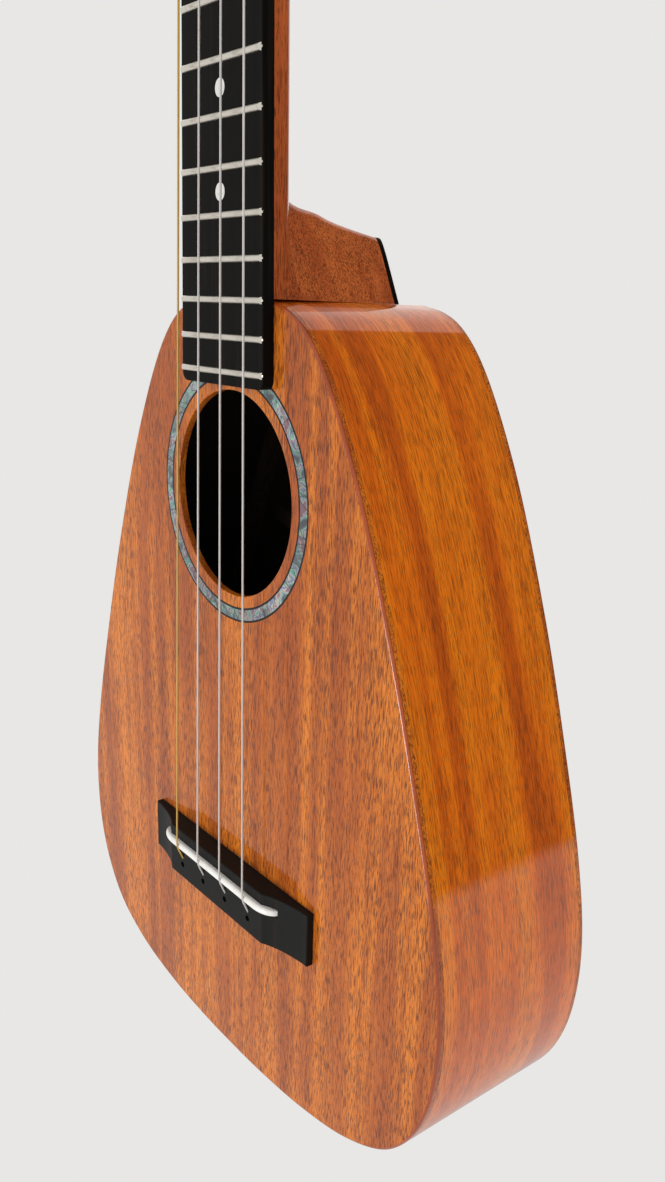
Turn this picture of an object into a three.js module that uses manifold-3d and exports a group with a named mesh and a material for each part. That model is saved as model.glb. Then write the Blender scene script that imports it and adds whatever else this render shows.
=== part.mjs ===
// A four-string tenor ukulele with a teardrop body, lying on its back.
// Millimetres. +Z points out of the soundboard, +Y from the body to the headstock, +X to the treble side.
// The origin is on the flat back, on the centreline, straight below the end of the string scale.
import * as THREE from "three";
import { mergeVertices } from "three/addons/utils/BufferGeometryUtils.js";
import Module from "manifold-3d";

const wasm = await Module();
wasm.setup();

// Driving dimensions
const scaleLength = 432; // nut to saddle, 17 inches
const bodyDepth = 65;
const neckJoint = 193; // y of the body's flat end, where the neck butts on
const plateThickness = 2.4; // soundboard and back
const sideThickness = 2;
const glueGap = 0.3; // left where one curved piece is cut to fit another
const soundHole = { y: 132.5, radius: 33.2 };
const rosetteRing = { inner: 37.2, outer: 41.6, depth: 1.2 };
const fretboardSize = { end: 167.3, thickness: 3.9, nutWidth: 35.4, saddleWidth: 53.4, corner: 3 };
const fretCount = 16;
const fretSize = { width: 2, height: 1, tangWidth: 0.6, tangDepth: 1.8, inset: 0.9 };
const nutSize = { thickness: 5, height: 5.9 };
const bridgeSize = { halfLength: 50.3, back: -17.8, front: 1.8, wing: 2.65, block: 7.5, blockHalf: 30.5 };
const bridgeSlope = { bend: 36.5, bendHeight: 3.9, end: 49 }; // from the block down to the tip of a wing
const saddleSize = { halfLength: 36.6, back: -5.1, front: -2.3, top: 9.4, floor: 1.9 };
const stringSpread = { nut: 9.4, saddle: 14.8 };
const stringHeights = { saddle: 10.3, nut: 5.5 }; // string centres above the soundboard
const stringRadius = 0.35;
const stringHole = { y: -12.1, radius: 1.1 };
const neckDepth = { nut: 12, heel: 13 };
const heelSize = { depth: 54, topHalf: 22.7, backHalf: 14.4, taper: 0.49, capThickness: 2.2 };
const headSize = { tilt: 12, length: 118, half: 27.5, thickness: 10, veneer: 1.6 };
const tuner = {
  postX: 17,
  rows: [36, 79],
  postRadius: 3,
  postTop: 12,
  plate: 1.2,
  teeth: 14,
  module: 0.7,
  gearFace: 3.6,
  wormRadius: 2.2,
  wormCore: 1.35,
  wormOuter: 2.8,
  wormLength: 8.8,
  shaftRadius: 1.5,
};
const soundboardTop = bodyDepth;
const soundboardBase = bodyDepth - plateThickness;
const backTop = plateThickness;

const finishes = {
  soundboardWood: [0xc67646, 0.3, 0],
  sideWood: [0xc0641f, 0.3, 0],
  neckWood: [0xa8602f, 0.35, 0],
  innerWood: [0xd6b98c, 0.8, 0],
  ebony: [0x1c1c1a, 0.5, 0],
  bone: [0xf2efe6, 0.4, 0],
  abalone: [0x8fa8a0, 0.2, 0],
  fretWire: [0xe1d9cd, 0.3, 1],
  nickel: [0xc9c7c2, 0.25, 1],
  brassGear: [0xb9974f, 0.35, 1],
  pearlButton: [0xf0ede4, 0.3, 0],
  clearString: [0xe8e4da, 0.3, 0],
  goldString: [0xc79a3a, 0.3, 0],
};

const model = new THREE.Group();

function material(finish) {
  const [color, roughness, metalness] = finishes[finish];
  return new THREE.MeshStandardMaterial({ color, roughness, metalness });
}

function addPart(name, geometry, finish, parent = model) {
  const mesh = new THREE.Mesh(geometry, material(finish));
  mesh.name = name;
  parent.add(mesh);
  return mesh;
}

// A closed geometry as a manifold solid, and back again.
function toSolid(geometry) {
  const bare = new THREE.BufferGeometry();
  bare.setAttribute("position", geometry.getAttribute("position"));
  bare.setIndex(geometry.getIndex());
  const merged = mergeVertices(bare, 1e-4);
  return new wasm.Manifold(
    new wasm.Mesh({
      numProp: 3,
      vertProperties: new Float32Array(merged.getAttribute("position").array),
      triVerts: new Uint32Array(merged.getIndex().array),
    }),
  );
}

function toGeometry(solid) {
  const mesh = solid.getMesh();
  const geometry = new THREE.BufferGeometry();
  geometry.setAttribute("position", new THREE.BufferAttribute(mesh.vertProperties, 3));
  geometry.setIndex(new THREE.BufferAttribute(mesh.triVerts, 1));
  geometry.computeVertexNormals();
  return geometry;
}

function join(...geometries) {
  return toGeometry(geometries.map(toSolid).reduce((whole, piece) => whole.add(piece)));
}

function cut(geometry, ...tools) {
  return toGeometry(tools.map(toSolid).reduce((whole, tool) => whole.subtract(tool), toSolid(geometry)));
}

function keepInside(geometry, limit) {
  return toGeometry(toSolid(geometry).intersect(toSolid(limit)));
}

function block(x0, x1, y0, y1, z0, z1) {
  const box = new THREE.BoxGeometry(x1 - x0, y1 - y0, z1 - z0);
  return box.translate((x0 + x1) / 2, (y0 + y1) / 2, (z0 + z1) / 2);
}

function rod(x, y, z0, z1, radius, segments = 16) {
  const cylinder = new THREE.CylinderGeometry(radius, radius, z1 - z0, segments);
  return cylinder.rotateX(Math.PI / 2).translate(x, y, (z0 + z1) / 2);
}

// A rod along X from x0 to x1.
function crossRod(x0, x1, y, z, radius, segments = 16) {
  const cylinder = new THREE.CylinderGeometry(radius, radius, Math.abs(x1 - x0), segments);
  return cylinder.rotateZ(Math.PI / 2).translate((x0 + x1) / 2, y, z);
}

// An outline in X and Y, extruded from z0 to z1. ExtrudeGeometry turns its holes the right way
// only where the outline itself runs anticlockwise.
function plate(outline, z0, z1, holes = []) {
  const clockwise = THREE.ShapeUtils.isClockWise(outline);
  const shape = new THREE.Shape(clockwise ? outline.slice().reverse() : outline);
  shape.holes = holes.map((hole) => new THREE.Path(hole));
  const geometry = new THREE.ExtrudeGeometry(shape, { depth: z1 - z0, bevelEnabled: false });
  return geometry.translate(0, 0, z0);
}

// A profile drawn in X and Z, extruded along Y from y0 to y1.
function crossProfile(points, y0, y1) {
  const geometry = plate(points, 0, y1 - y0);
  return geometry.rotateX(Math.PI / 2).translate(0, y1, 0);
}

// A profile drawn in Y and Z, extruded along X from x0 to x1.
function longProfile(points, x0, x1) {
  const geometry = plate(points, 0, x1 - x0);
  return geometry.rotateY(Math.PI / 2).rotateX(Math.PI / 2).translate(x0, 0, 0);
}

// A skin through rings of equally many points, closed by a flat cap at each end.
// Seen from the first ring towards the last, the points of a ring run clockwise.
function loft(rings) {
  const count = rings[0].length;
  const points = rings.flat();
  const index = [];
  for (let ring = 0; ring + 1 < rings.length; ring++) {
    for (let i = 0; i < count; i++) {
      const a = ring * count + i;
      const b = ring * count + ((i + 1) % count);
      index.push(a, b, b + count, a, b + count, a + count);
    }
  }
  const first = points.length;
  points.push(middle(rings[0]), middle(rings[rings.length - 1]));
  const lastRing = (rings.length - 1) * count;
  for (let i = 0; i < count; i++) {
    const next = (i + 1) % count;
    index.push(first, next, i);
    index.push(first + 1, lastRing + i, lastRing + next);
  }
  const geometry = new THREE.BufferGeometry().setFromPoints(points);
  geometry.setIndex(index);
  geometry.computeVertexNormals();
  return geometry;
}

function middle(points) {
  const sum = points.reduce((total, point) => total.add(point), new THREE.Vector3());
  return sum.divideScalar(points.length);
}

function circle(radius, x, y, segments) {
  return new THREE.EllipseCurve(x, y, radius, radius, 0, 2 * Math.PI).getPoints(segments).slice(0, -1);
}

// Body outline: half of it, from the flat neck end round to the middle of the tail.
const halfOutline = [
  [18, 193],
  [27, 191.1],
  [35, 187.2],
  [45.5, 176.5],
  [62.8, 146.4],
  [80.9, 102.3],
  [93.1, 66.2],
  [104.7, 26.8],
  [109.9, 0],
  [110.4, -20],
  [107.5, -37.6],
  [101, -52.5],
  [90, -65.4],
  [70.4, -75.6],
  [45.3, -81.4],
  [20, -83.8],
  [0, -84.2],
];
const mirroredHalf = halfOutline.slice(0, -1).reverse().map(([x, y]) => [-x, y]);
const outlineCurve = new THREE.CatmullRomCurve3(
  halfOutline.concat(mirroredHalf).map(([x, y]) => new THREE.Vector3(x, y, 0)),
  false,
  "centripetal",
);
const outlineSteps = 60;

// The body outline moved inwards. It runs clockwise from the neck end's right corner.
function bodyOutline(inset) {
  const points = outlineCurve.getSpacedPoints(outlineSteps);
  return points.map((point, i) => {
    if (i === 0 || i === outlineSteps) {
      // A corner of the flat end, which moves straight in from it.
      return new THREE.Vector2(point.x, point.y - inset);
    }
    const along = points[i + 1].clone().sub(points[i - 1]).normalize();
    return new THREE.Vector2(point.x + along.y * inset, point.y - along.x * inset);
  });
}

function fretY(number) {
  return scaleLength * 2 ** (-number / 12);
}

function fretboardHalfWidth(y) {
  const { nutWidth, saddleWidth } = fretboardSize;
  return (nutWidth + (saddleWidth - nutWidth) * (1 - y / scaleLength)) / 2;
}

function stringX(number, y) {
  const spacing = stringSpread.nut + (stringSpread.saddle - stringSpread.nut) * (1 - y / scaleLength);
  return (number - 2.5) * spacing;
}

// Sound box
function rosetteTool(gap, z0, z1) {
  const outer = circle(rosetteRing.outer + gap, 0, soundHole.y, 40);
  const inner = circle(rosetteRing.inner - gap, 0, soundHole.y, 40);
  return plate(outer, z0, z1, [inner]);
}

function bridgeHoles(z0, z1) {
  return [1, 2, 3, 4].map((n) => rod(stringX(n, 0), stringHole.y, z0, z1, stringHole.radius, 8));
}

function buildSoundboard() {
  const hole = circle(soundHole.radius, 0, soundHole.y, 40);
  const board = plate(bodyOutline(0), soundboardBase, soundboardTop, [hole]);
  const groove = rosetteTool(0.1, soundboardTop - rosetteRing.depth, soundboardTop + 1);
  addPart("soundboard", cut(board, groove, ...bridgeHoles(50, 70)), "soundboardWood");
  const ring = rosetteTool(0, soundboardTop - rosetteRing.depth + 0.1, soundboardTop);
  addPart("rosette", ring, "abalone");
}

function buildSides() {
  addPart("back_plate", plate(bodyOutline(0), 0, backTop), "soundboardWood");
  const shell = plate(bodyOutline(0), backTop, soundboardBase, [bodyOutline(sideThickness)]);
  const seam = 0.05;
  const right = block(seam, 150, -120, 220, 0, 80);
  const left = block(-150, -seam, -120, 220, 0, 80);
  addPart("side_right", keepInside(shell, right), "sideWood");
  addPart("side_left", keepInside(shell, left), "sideWood");
}

function buildBlocksAndLinings() {
  const inside = plate(bodyOutline(sideThickness + glueGap), backTop, soundboardBase);
  const liningHeight = 6;
  const levels = [
    ["lining_top", soundboardBase - liningHeight, soundboardBase],
    ["lining_back", backTop, backTop + liningHeight],
  ];
  const rebates = levels.map(([name, z0, z1]) => {
    const ring = plate(bodyOutline(sideThickness + glueGap), z0, z1, [bodyOutline(7)]);
    addPart(name, ring, "innerWood");
    return plate(bodyOutline(1), z0 - glueGap, z1 + glueGap, [bodyOutline(7 + glueGap)]);
  });
  const neckBlock = keepInside(inside, block(-27, 27, 175, 220, 0, 80));
  addPart("neck_block", cut(neckBlock, ...rebates), "innerWood");
  const tailBlock = keepInside(inside, block(-32, 32, -100, -64, 0, 80));
  addPart("tail_block", cut(tailBlock, ...rebates), "innerWood");
}

// A bar under the soundboard or on the back, across the body, with its ends carved low.
function crossBar(y, halfLength, width, height, base, up) {
  const low = 2;
  const scallop = 22;
  const profile = [
    [-halfLength, 0],
    [halfLength, 0],
    [halfLength, low],
    [halfLength - scallop, height],
    [-halfLength + scallop, height],
    [-halfLength, low],
  ];
  const points = profile.map(([x, z]) => new THREE.Vector2(x, base + up * z));
  return crossProfile(up > 0 ? points : points.reverse(), y - width / 2, y + width / 2);
}

function buildBraces() {
  const platePart = { y0: -24, y1: 8, half: 56, thickness: 2 };
  const plateBase = soundboardBase - platePart.thickness;
  const patch = block(-platePart.half, platePart.half, platePart.y0, platePart.y1, plateBase, soundboardBase);
  addPart("bridge_plate", cut(patch, ...bridgeHoles(50, 70)), "innerWood");
  addPart("upper_brace", crossBar(170.6, 38, 5, 9, soundboardBase, -1), "innerWood");
  addPart("lower_brace", crossBar(84, 74, 5, 9, soundboardBase, -1), "innerWood");
  const notch = block(
    -platePart.half - glueGap,
    platePart.half + glueGap,
    platePart.y0 - glueGap,
    platePart.y1 + glueGap,
    plateBase - glueGap,
    80,
  );
  ["left", "centre", "right"].forEach((side, i) => {
    const splay = (i - 1) * 14;
    const bar = crossBar(0, 62, 4, 7, 0, -1);
    const turn = THREE.MathUtils.degToRad(90 + splay);
    bar.rotateZ(turn).translate((i - 1) * 32, 14, soundboardBase);
    addPart("fan_brace_" + side, cut(bar, notch), "innerWood");
  });
  addPart("back_brace_upper", crossBar(112, 62, 6, 10, backTop, 1), "innerWood");
  addPart("back_brace_lower", crossBar(10, 92, 6, 10, backTop, 1), "innerWood");
}

// Bridge and saddle
function buildBridge() {
  const { halfLength, back, front, wing, block: tall, blockHalf } = bridgeSize;
  const slope = new THREE.QuadraticBezierCurve(
    new THREE.Vector2(blockHalf, tall),
    new THREE.Vector2(bridgeSlope.bend, bridgeSlope.bendHeight),
    new THREE.Vector2(bridgeSlope.end, wing),
  ).getPoints(5);
  const right = [new THREE.Vector2(halfLength, 0), new THREE.Vector2(halfLength, wing), ...slope.reverse()];
  const left = right.map((point) => new THREE.Vector2(-point.x, point.y)).reverse();
  const body = crossProfile(right.concat(left), back, front).translate(0, 0, soundboardTop);
  const slot = block(
    -saddleSize.halfLength - 0.1,
    saddleSize.halfLength + 0.1,
    saddleSize.back - 0.1,
    saddleSize.front + 0.1,
    soundboardTop + saddleSize.floor,
    soundboardTop + 20,
  );
  addPart("bridge", cut(body, slot, ...bridgeHoles(60, 80)), "ebony");
  const shoulder = 33;
  const profile = [
    [-saddleSize.halfLength, saddleSize.floor],
    [saddleSize.halfLength, saddleSize.floor],
    [saddleSize.halfLength, 3.2],
    [shoulder + 2, 6.4],
    [shoulder - 1.5, saddleSize.top - 1],
    [shoulder - 6, saddleSize.top],
    [-shoulder + 6, saddleSize.top],
    [-shoulder + 1.5, saddleSize.top - 1],
    [-shoulder - 2, 6.4],
    [-saddleSize.halfLength, 3.2],
  ].map(([x, z]) => new THREE.Vector2(x, z + soundboardTop));
  addPart("saddle", crossProfile(profile, saddleSize.back, saddleSize.front), "bone");
}

// Neck, heel and headstock, one piece of wood
function neckRing(y, depth) {
  const half = fretboardHalfWidth(y);
  const power = 2 / 2.2;
  const ring = [];
  const steps = 14;
  for (let i = 0; i <= steps; i++) {
    const angle = (Math.PI * i) / steps;
    const x = half * Math.sign(Math.cos(angle)) * Math.abs(Math.cos(angle)) ** power;
    ring.push(new THREE.Vector3(x, y, soundboardTop - depth * Math.sin(angle) ** power));
  }
  return ring;
}

// How far the heel reaches along the neck at each depth below the soundboard.
const heelNose = new THREE.CatmullRomCurve3(
  [
    [1, 236],
    [7, 235.6],
    [10.5, 233],
    [13, 228],
    [16, 223.2],
    [20, 220.6],
    [28.9, 219],
    [33.6, 217.4],
    [43.4, 215.4],
    [heelSize.depth, 213.7],
  ].map(([depth, y]) => new THREE.Vector3(0, y, depth)),
  false,
  "centripetal",
);

// The heel at one depth: straight sides that close towards a blunt, rounded nose.
function heelRing(nose, depth) {
  const half = THREE.MathUtils.lerp(heelSize.topHalf, heelSize.backHalf, depth / heelSize.depth);
  const reach = nose - neckJoint;
  const power = 2 / 8;
  const ring = [];
  const steps = 14;
  for (let i = 0; i <= steps; i++) {
    const angle = (Math.PI * i) / steps;
    const out = reach * Math.sin(angle) ** power;
    const x = (half - heelSize.taper * out) * Math.sign(Math.cos(angle)) * Math.abs(Math.cos(angle)) ** power;
    ring.push(new THREE.Vector3(-x, neckJoint + out, soundboardTop - depth));
  }
  return ring;
}

// The headstock's own frame: origin behind the nut at the top of the neck wood, leaning back.
const head = new THREE.Group();
head.position.set(0, scaleLength + nutSize.thickness, soundboardTop);
head.rotation.x = -THREE.MathUtils.degToRad(headSize.tilt);
model.add(head);
head.updateMatrix();

function headOutline(start, shrink) {
  const shape = new THREE.Shape();
  const half = fretboardHalfWidth(scaleLength) - shrink;
  const wide = headSize.half - shrink;
  const top = headSize.length - shrink;
  shape.moveTo(half, start);
  shape.bezierCurveTo(half, start + 14, wide - 4, 14, wide - 1, 28);
  shape.bezierCurveTo(wide + 1, 50, wide + 1, top - 35, wide - 3, top - 8);
  shape.bezierCurveTo(wide - 4, top - 3, wide - 8, top - 2, wide - 12, top - 2.4);
  shape.bezierCurveTo(12, top - 4, 6, top, 0, top);
  const right = shape.getPoints(5);
  const left = right.slice(0, -1).map((point) => new THREE.Vector2(-point.x, point.y));
  return right.concat(left.reverse());
}

function postPlaces() {
  return [1, 2, 3, 4].map((n) => {
    const side = n < 3 ? -1 : 1;
    const row = n === 1 || n === 4 ? tuner.rows[0] : tuner.rows[1];
    return { number: n, side, x: side * tuner.postX, y: row };
  });
}

function buildNeck() {
  const shaft = loft([193, 250, 310, 370, scaleLength + nutSize.thickness + 1].map((y) => {
    const along = (y - neckJoint) / (scaleLength - neckJoint);
    return neckRing(y, THREE.MathUtils.lerp(neckDepth.heel, neckDepth.nut, along));
  }));
  const heel = loft(heelNose.getPoints(12).map((point) => heelRing(point.y, point.z)));
  const headWood = plate(headOutline(-6, 0), -headSize.thickness, 0);
  const holes = postPlaces().map((place) => rod(place.x, place.y, -30, 10, tuner.postRadius + 0.3));
  const wood = cut(headWood, ...holes).applyMatrix4(head.matrix);
  const nutSeat = block(-30, 30, scaleLength - 20, scaleLength + 6, soundboardTop, 90);
  addPart("neck", cut(join(shaft, heel, wood), nutSeat), "neckWood");

  const capTop = soundboardTop - heelSize.depth;
  const capRing = heelRing(heelNose.getPoint(1).y, heelSize.depth);
  const capOutline = capRing.map((point) => new THREE.Vector2(point.x, point.y));
  addPart("heel_cap", plate(capOutline, capTop - heelSize.capThickness, capTop), "ebony");

  const veneer = plate(headOutline(1.2, 0), glueGap, headSize.veneer + glueGap);
  const veneerHoles = postPlaces().map((place) => rod(place.x, place.y, -5, 10, tuner.postRadius + 0.3));
  addPart("headplate", cut(veneer, ...veneerHoles), "ebony", head);
}

function buildFretboard() {
  const { end, thickness, corner } = fretboardSize;
  const shape = new THREE.Shape();
  const endHalf = fretboardHalfWidth(end);
  const nutHalf = fretboardHalfWidth(scaleLength);
  shape.moveTo(nutHalf, scaleLength);
  shape.lineTo(-nutHalf, scaleLength);
  shape.lineTo(-endHalf, end + corner);
  shape.quadraticCurveTo(-endHalf, end, -endHalf + corner, end);
  shape.lineTo(endHalf - corner, end);
  shape.quadraticCurveTo(endHalf, end, endHalf, end + corner);
  const board = plate(shape.getPoints(4), soundboardTop, soundboardTop + thickness);
  const top = soundboardTop + thickness;
  const numbers = Array.from({ length: fretCount }, (_, i) => i + 1);
  const slots = numbers.map((n) => {
    const half = fretSize.tangWidth / 2 + 0.1;
    return block(-40, 40, fretY(n) - half, fretY(n) + half, top - fretSize.tangDepth - 0.2, top + 5);
  });
  addPart("fretboard", cut(board, ...slots), "ebony");
  numbers.forEach((n) => addPart("fret_" + String(n).padStart(2, "0"), fret(fretY(n), top), "fretWire"));
}

// T-shaped fret wire: a low round crown on the board and a tang in its slot.
function fret(y, top) {
  const half = fretSize.width / 2;
  const tang = fretSize.tangWidth / 2;
  const crown = [0, 1, 2, 3, 4, 5, 6].map((i) => {
    const angle = (Math.PI * i) / 6;
    return new THREE.Vector2(y + half * Math.cos(angle), top + fretSize.height * Math.sin(angle));
  });
  const foot = [
    new THREE.Vector2(y - tang, top),
    new THREE.Vector2(y - tang, top - fretSize.tangDepth),
    new THREE.Vector2(y + tang, top - fretSize.tangDepth),
    new THREE.Vector2(y + tang, top),
  ];
  const reach = fretboardHalfWidth(y) - fretSize.inset;
  return longProfile(crown.concat(foot), -reach, reach);
}

function buildNut() {
  const half = fretboardHalfWidth(scaleLength);
  const y0 = scaleLength;
  const z0 = soundboardTop;
  const profile = [
    [y0, z0],
    [y0 + nutSize.thickness, z0],
    [y0 + nutSize.thickness, z0 + nutSize.height - 1.4],
    [y0 + nutSize.thickness - 2, z0 + nutSize.height - 0.2],
    [y0, z0 + nutSize.height],
  ].map(([y, z]) => new THREE.Vector2(y, z));
  const slots = [1, 2, 3, 4].map((n) => {
    const x = stringX(n, scaleLength);
    const floor = z0 + stringHeights.nut - stringRadius - 1.6;
    return block(x - 0.6, x + 0.6, y0 - 1, y0 + nutSize.thickness + 1, floor, z0 + 20);
  });
  addPart("nut", cut(longProfile(profile, -half, half), ...slots), "bone");
}

// Strings: from a knot under the bridge plate, up over the saddle, along to the nut and to the post.
function buildStrings() {
  const toModel = (x, y, z) => new THREE.Vector3(x, y, z).applyMatrix4(head.matrix);
  postPlaces().forEach(({ number, side, x, y }) => {
    const saddleY = (saddleSize.back + saddleSize.front) / 2;
    const x0 = stringX(number, 0);
    const nutX = stringX(number, scaleLength);
    const post = toModel(x - side * (tuner.postRadius + stringRadius + 0.15), y, 6);
    const corners = [
      new THREE.Vector3(x0, stringHole.y, soundboardBase - 5),
      new THREE.Vector3(x0, stringHole.y, soundboardTop + bridgeSize.block + 0.6),
      new THREE.Vector3(stringX(number, saddleY), saddleY, soundboardTop + stringHeights.saddle),
      new THREE.Vector3(nutX, scaleLength, soundboardTop + stringHeights.nut),
      new THREE.Vector3(nutX, scaleLength + nutSize.thickness, soundboardTop + stringHeights.nut - 0.7),
      post,
    ];
    const wire = bentWire(corners, stringRadius);
    const knot = new THREE.SphereGeometry(1.9, 8, 5).translate(x0, stringHole.y, soundboardBase - 4.4);
    addPart("string_" + number, join(wire, knot), number === 1 ? "goldString" : "clearString");
  });
}

// A round wire through straight runs, each bend being mitred.
function bentWire(corners, radius) {
  const sides = 6;
  const rings = corners.map((corner, i) => {
    const before = corners[Math.max(i - 1, 0)];
    const after = corners[Math.min(i + 1, corners.length - 1)];
    const into = corner.clone().sub(before).normalize();
    const out = after.clone().sub(corner).normalize();
    const along = into.clone().add(out).normalize();
    const across = new THREE.Vector3(1, 0, 0).cross(along).normalize();
    const third = along.clone().cross(across);
    return Array.from({ length: sides }, (_, k) => {
      const angle = (2 * Math.PI * k) / sides;
      const offset = across.clone().multiplyScalar(Math.cos(angle) * radius);
      return corner.clone().add(offset).add(third.clone().multiplyScalar(Math.sin(angle) * radius));
    });
  });
  return loft(rings);
}

// Open-gear tuners on the back of the headstock, in the headstock's frame.
const gearRadius = (tuner.teeth * tuner.module) / 2;
const wormOffset = gearRadius + tuner.wormRadius;
const plateBack = -headSize.thickness - glueGap - tuner.plate;
const wormZ = plateBack - 0.4 - tuner.wormOuter;
const lead = Math.PI * tuner.module;

// The gear: straight-sided teeth, twisted along the axis to lie along the worm's thread.
function gearSolid() {
  const outer = gearRadius + 0.5;
  const root = gearRadius - 0.95;
  const halfPitchTooth = 0.46 / gearRadius;
  const twist = lead / (2 * Math.PI * tuner.wormRadius) / gearRadius;
  const rings = [-0.5, 0, 0.5].map((level) => {
    const z = wormZ + level * tuner.gearFace;
    const ring = [];
    for (let tooth = 0; tooth < tuner.teeth; tooth++) {
      const middleAngle = -Math.PI / 2 + (2 * Math.PI * (tooth + 0.5)) / tuner.teeth + twist * (z - wormZ);
      const corners = [
        [root, -1.75],
        [outer, -0.55],
        [outer, 0.55],
        [root, 1.75],
      ];
      corners.forEach(([radius, widths]) => {
        const angle = middleAngle + widths * halfPitchTooth;
        ring.push(new THREE.Vector3(radius * Math.cos(angle), radius * Math.sin(angle), z));
      });
    }
    return ring;
  });
  return loft(rings);
}

// The worm's single right-hand thread: a tapered ridge wound round the X axis.
function threadSolid() {
  const turns = 2.4;
  const steps = Math.round(turns * 12);
  const rings = [];
  for (let i = 0; i <= steps; i++) {
    const angle = (i / steps - 0.5) * turns * 2 * Math.PI;
    const x = (lead * angle) / (2 * Math.PI);
    const section = [
      [tuner.wormCore - 0.4, 0.62],
      [tuner.wormOuter, 0.2],
      [tuner.wormOuter, -0.2],
      [tuner.wormCore - 0.4, -0.62],
    ];
    rings.push(
      section.map(([radius, shift]) => {
        return new THREE.Vector3(x + shift, radius * Math.cos(angle), radius * Math.sin(angle));
      }),
    );
  }
  return loft(rings);
}

function buildTuners() {
  postPlaces().forEach(({ number, side, x, y }) => {
    const group = new THREE.Group();
    group.position.set(x, y, 0);
    group.scale.x = side;
    head.add(group);
    const earInner = tuner.wormLength / 2 + 0.3;
    const earThickness = 1.4;
    const base = plate(
      [
        [-9.5, -13],
        [9.5, -13],
        [9.5, 13],
        [-9.5, 13],
      ].map(([px, py]) => new THREE.Vector2(px, py)),
      plateBack,
      plateBack + tuner.plate,
    );
    const earLow = wormZ - 2.6;
    const ears = [-1, 1].map((end) => {
      const inner = end * earInner;
      const outer = end * (earInner + earThickness);
      const low = Math.min(inner, outer);
      return block(low, low + earThickness, -wormOffset - 3, -wormOffset + 3, earLow, plateBack + 0.5);
    });
    const shaftClear = crossRod(-12, 12, -wormOffset, wormZ, tuner.shaftRadius + 0.2);
    const postClear = rod(0, 0, -30, 10, tuner.postRadius + 0.3);
    addPart("tuner_plate_" + number, cut(join(base, ...ears), shaftClear, postClear), "nickel", group);

    const core = crossRod(-tuner.wormLength / 2, tuner.wormLength / 2, 0, 0, tuner.wormCore, 12);
    const inboard = crossRod(-earInner - earThickness - 0.6, -tuner.wormLength / 2 + 0.6, 0, 0, tuner.shaftRadius, 12);
    const outboard = crossRod(tuner.wormLength / 2 - 0.6, 25, 0, 0, tuner.shaftRadius, 12);
    const worm = join(core, threadSolid(), inboard, outboard).translate(0, -wormOffset, wormZ);
    addPart("worm_shaft_" + number, worm, "nickel", group);

    const barrel = rod(0, 0, wormZ - tuner.gearFace / 2 - 0.8, tuner.postTop, tuner.postRadius);
    const stringEye = crossRod(-5, 5, 0, 6, 0.7, 8);
    addPart("post_gear_" + number, cut(join(gearSolid(), barrel), stringEye), "brassGear", group);

    addPart("button_" + number, button(), "pearlButton", group);
  });
}

// A flat oval button with a short neck, bored for the shaft.
function button() {
  const grip = new THREE.SphereGeometry(1, 18, 10).scale(6.2, 8.6, 4).translate(27, -wormOffset, wormZ);
  const collar = crossRod(18.6, 24, -wormOffset, wormZ, 3, 14);
  const bore = crossRod(15, 25.3, -wormOffset, wormZ, tuner.shaftRadius + 0.3, 12);
  return cut(join(grip, collar), bore);
}

buildSoundboard();
buildSides();
buildBlocksAndLinings();
buildBraces();
buildBridge();
buildNeck();
buildFretboard();
buildNut();
buildStrings();
buildTuners();

export default model;
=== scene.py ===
import math

import bmesh
import bpy
from mathutils import Matrix, Vector


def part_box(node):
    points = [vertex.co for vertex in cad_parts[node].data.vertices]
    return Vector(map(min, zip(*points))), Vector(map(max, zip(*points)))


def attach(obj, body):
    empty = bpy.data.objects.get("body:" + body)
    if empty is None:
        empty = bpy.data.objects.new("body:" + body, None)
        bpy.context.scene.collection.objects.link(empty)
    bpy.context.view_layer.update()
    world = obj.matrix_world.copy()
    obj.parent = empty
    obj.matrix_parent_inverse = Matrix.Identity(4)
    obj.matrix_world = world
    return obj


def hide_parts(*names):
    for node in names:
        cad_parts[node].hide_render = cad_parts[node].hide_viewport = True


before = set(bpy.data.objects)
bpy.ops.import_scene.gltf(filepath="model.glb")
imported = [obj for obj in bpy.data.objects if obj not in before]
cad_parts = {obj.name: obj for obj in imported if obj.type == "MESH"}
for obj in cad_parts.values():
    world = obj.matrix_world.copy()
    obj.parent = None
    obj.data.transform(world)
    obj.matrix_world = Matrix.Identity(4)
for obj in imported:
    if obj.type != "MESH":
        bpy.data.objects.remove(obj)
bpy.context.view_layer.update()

# Pieces are drawn in millimetres and turned into metres when they are finished.
# +Z is up out of the soundboard, +Y runs to the headstock, +X is the treble side.
mm = 0.001


def sizes(node):  # lowest and highest corner of a node, in millimetres
    low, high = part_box(node)
    return low / mm, high / mm


boardLow, boardHigh = sizes("soundboard")
topZ = boardHigh.z
boardBase = boardLow.z
neckEnd = boardHigh.y
backTop = sizes("back_plate")[1].z
fretboardLow, fretboardHigh = sizes("fretboard")
nutLow, nutHigh = sizes("nut")
rosetteLow, rosetteHigh = sizes("rosette")
holeCentre = Vector((0, (rosetteLow.y + rosetteHigh.y) / 2))

# ---- camera, floor and light

camera = {
    "place": (0.27670, 0.19069, 0.24319),
    "ahead": (-0.73697, -0.32131, -0.59467),
    "up": (-0.27188, 0.94639, -0.17441),
    "lens": 30.8,
    "shift": (-0.0009, 0.0524),
}


def placeCamera():
    data = bpy.data.cameras.new("camera")
    data.lens = camera["lens"]
    data.shift_x, data.shift_y = camera["shift"]
    data.clip_start = 0.01
    view = bpy.data.objects.new("camera", data)
    back = -Vector(camera["ahead"])
    right = Vector(camera["up"]).cross(back)
    turn = Matrix((right, back.cross(right), back)).transposed()
    view.matrix_world = Matrix.Translation(camera["place"]) @ turn.to_4x4()
    bpy.context.scene.collection.objects.link(view)
    bpy.context.scene.camera = view


placeCamera()


# ---- shader maths


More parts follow.
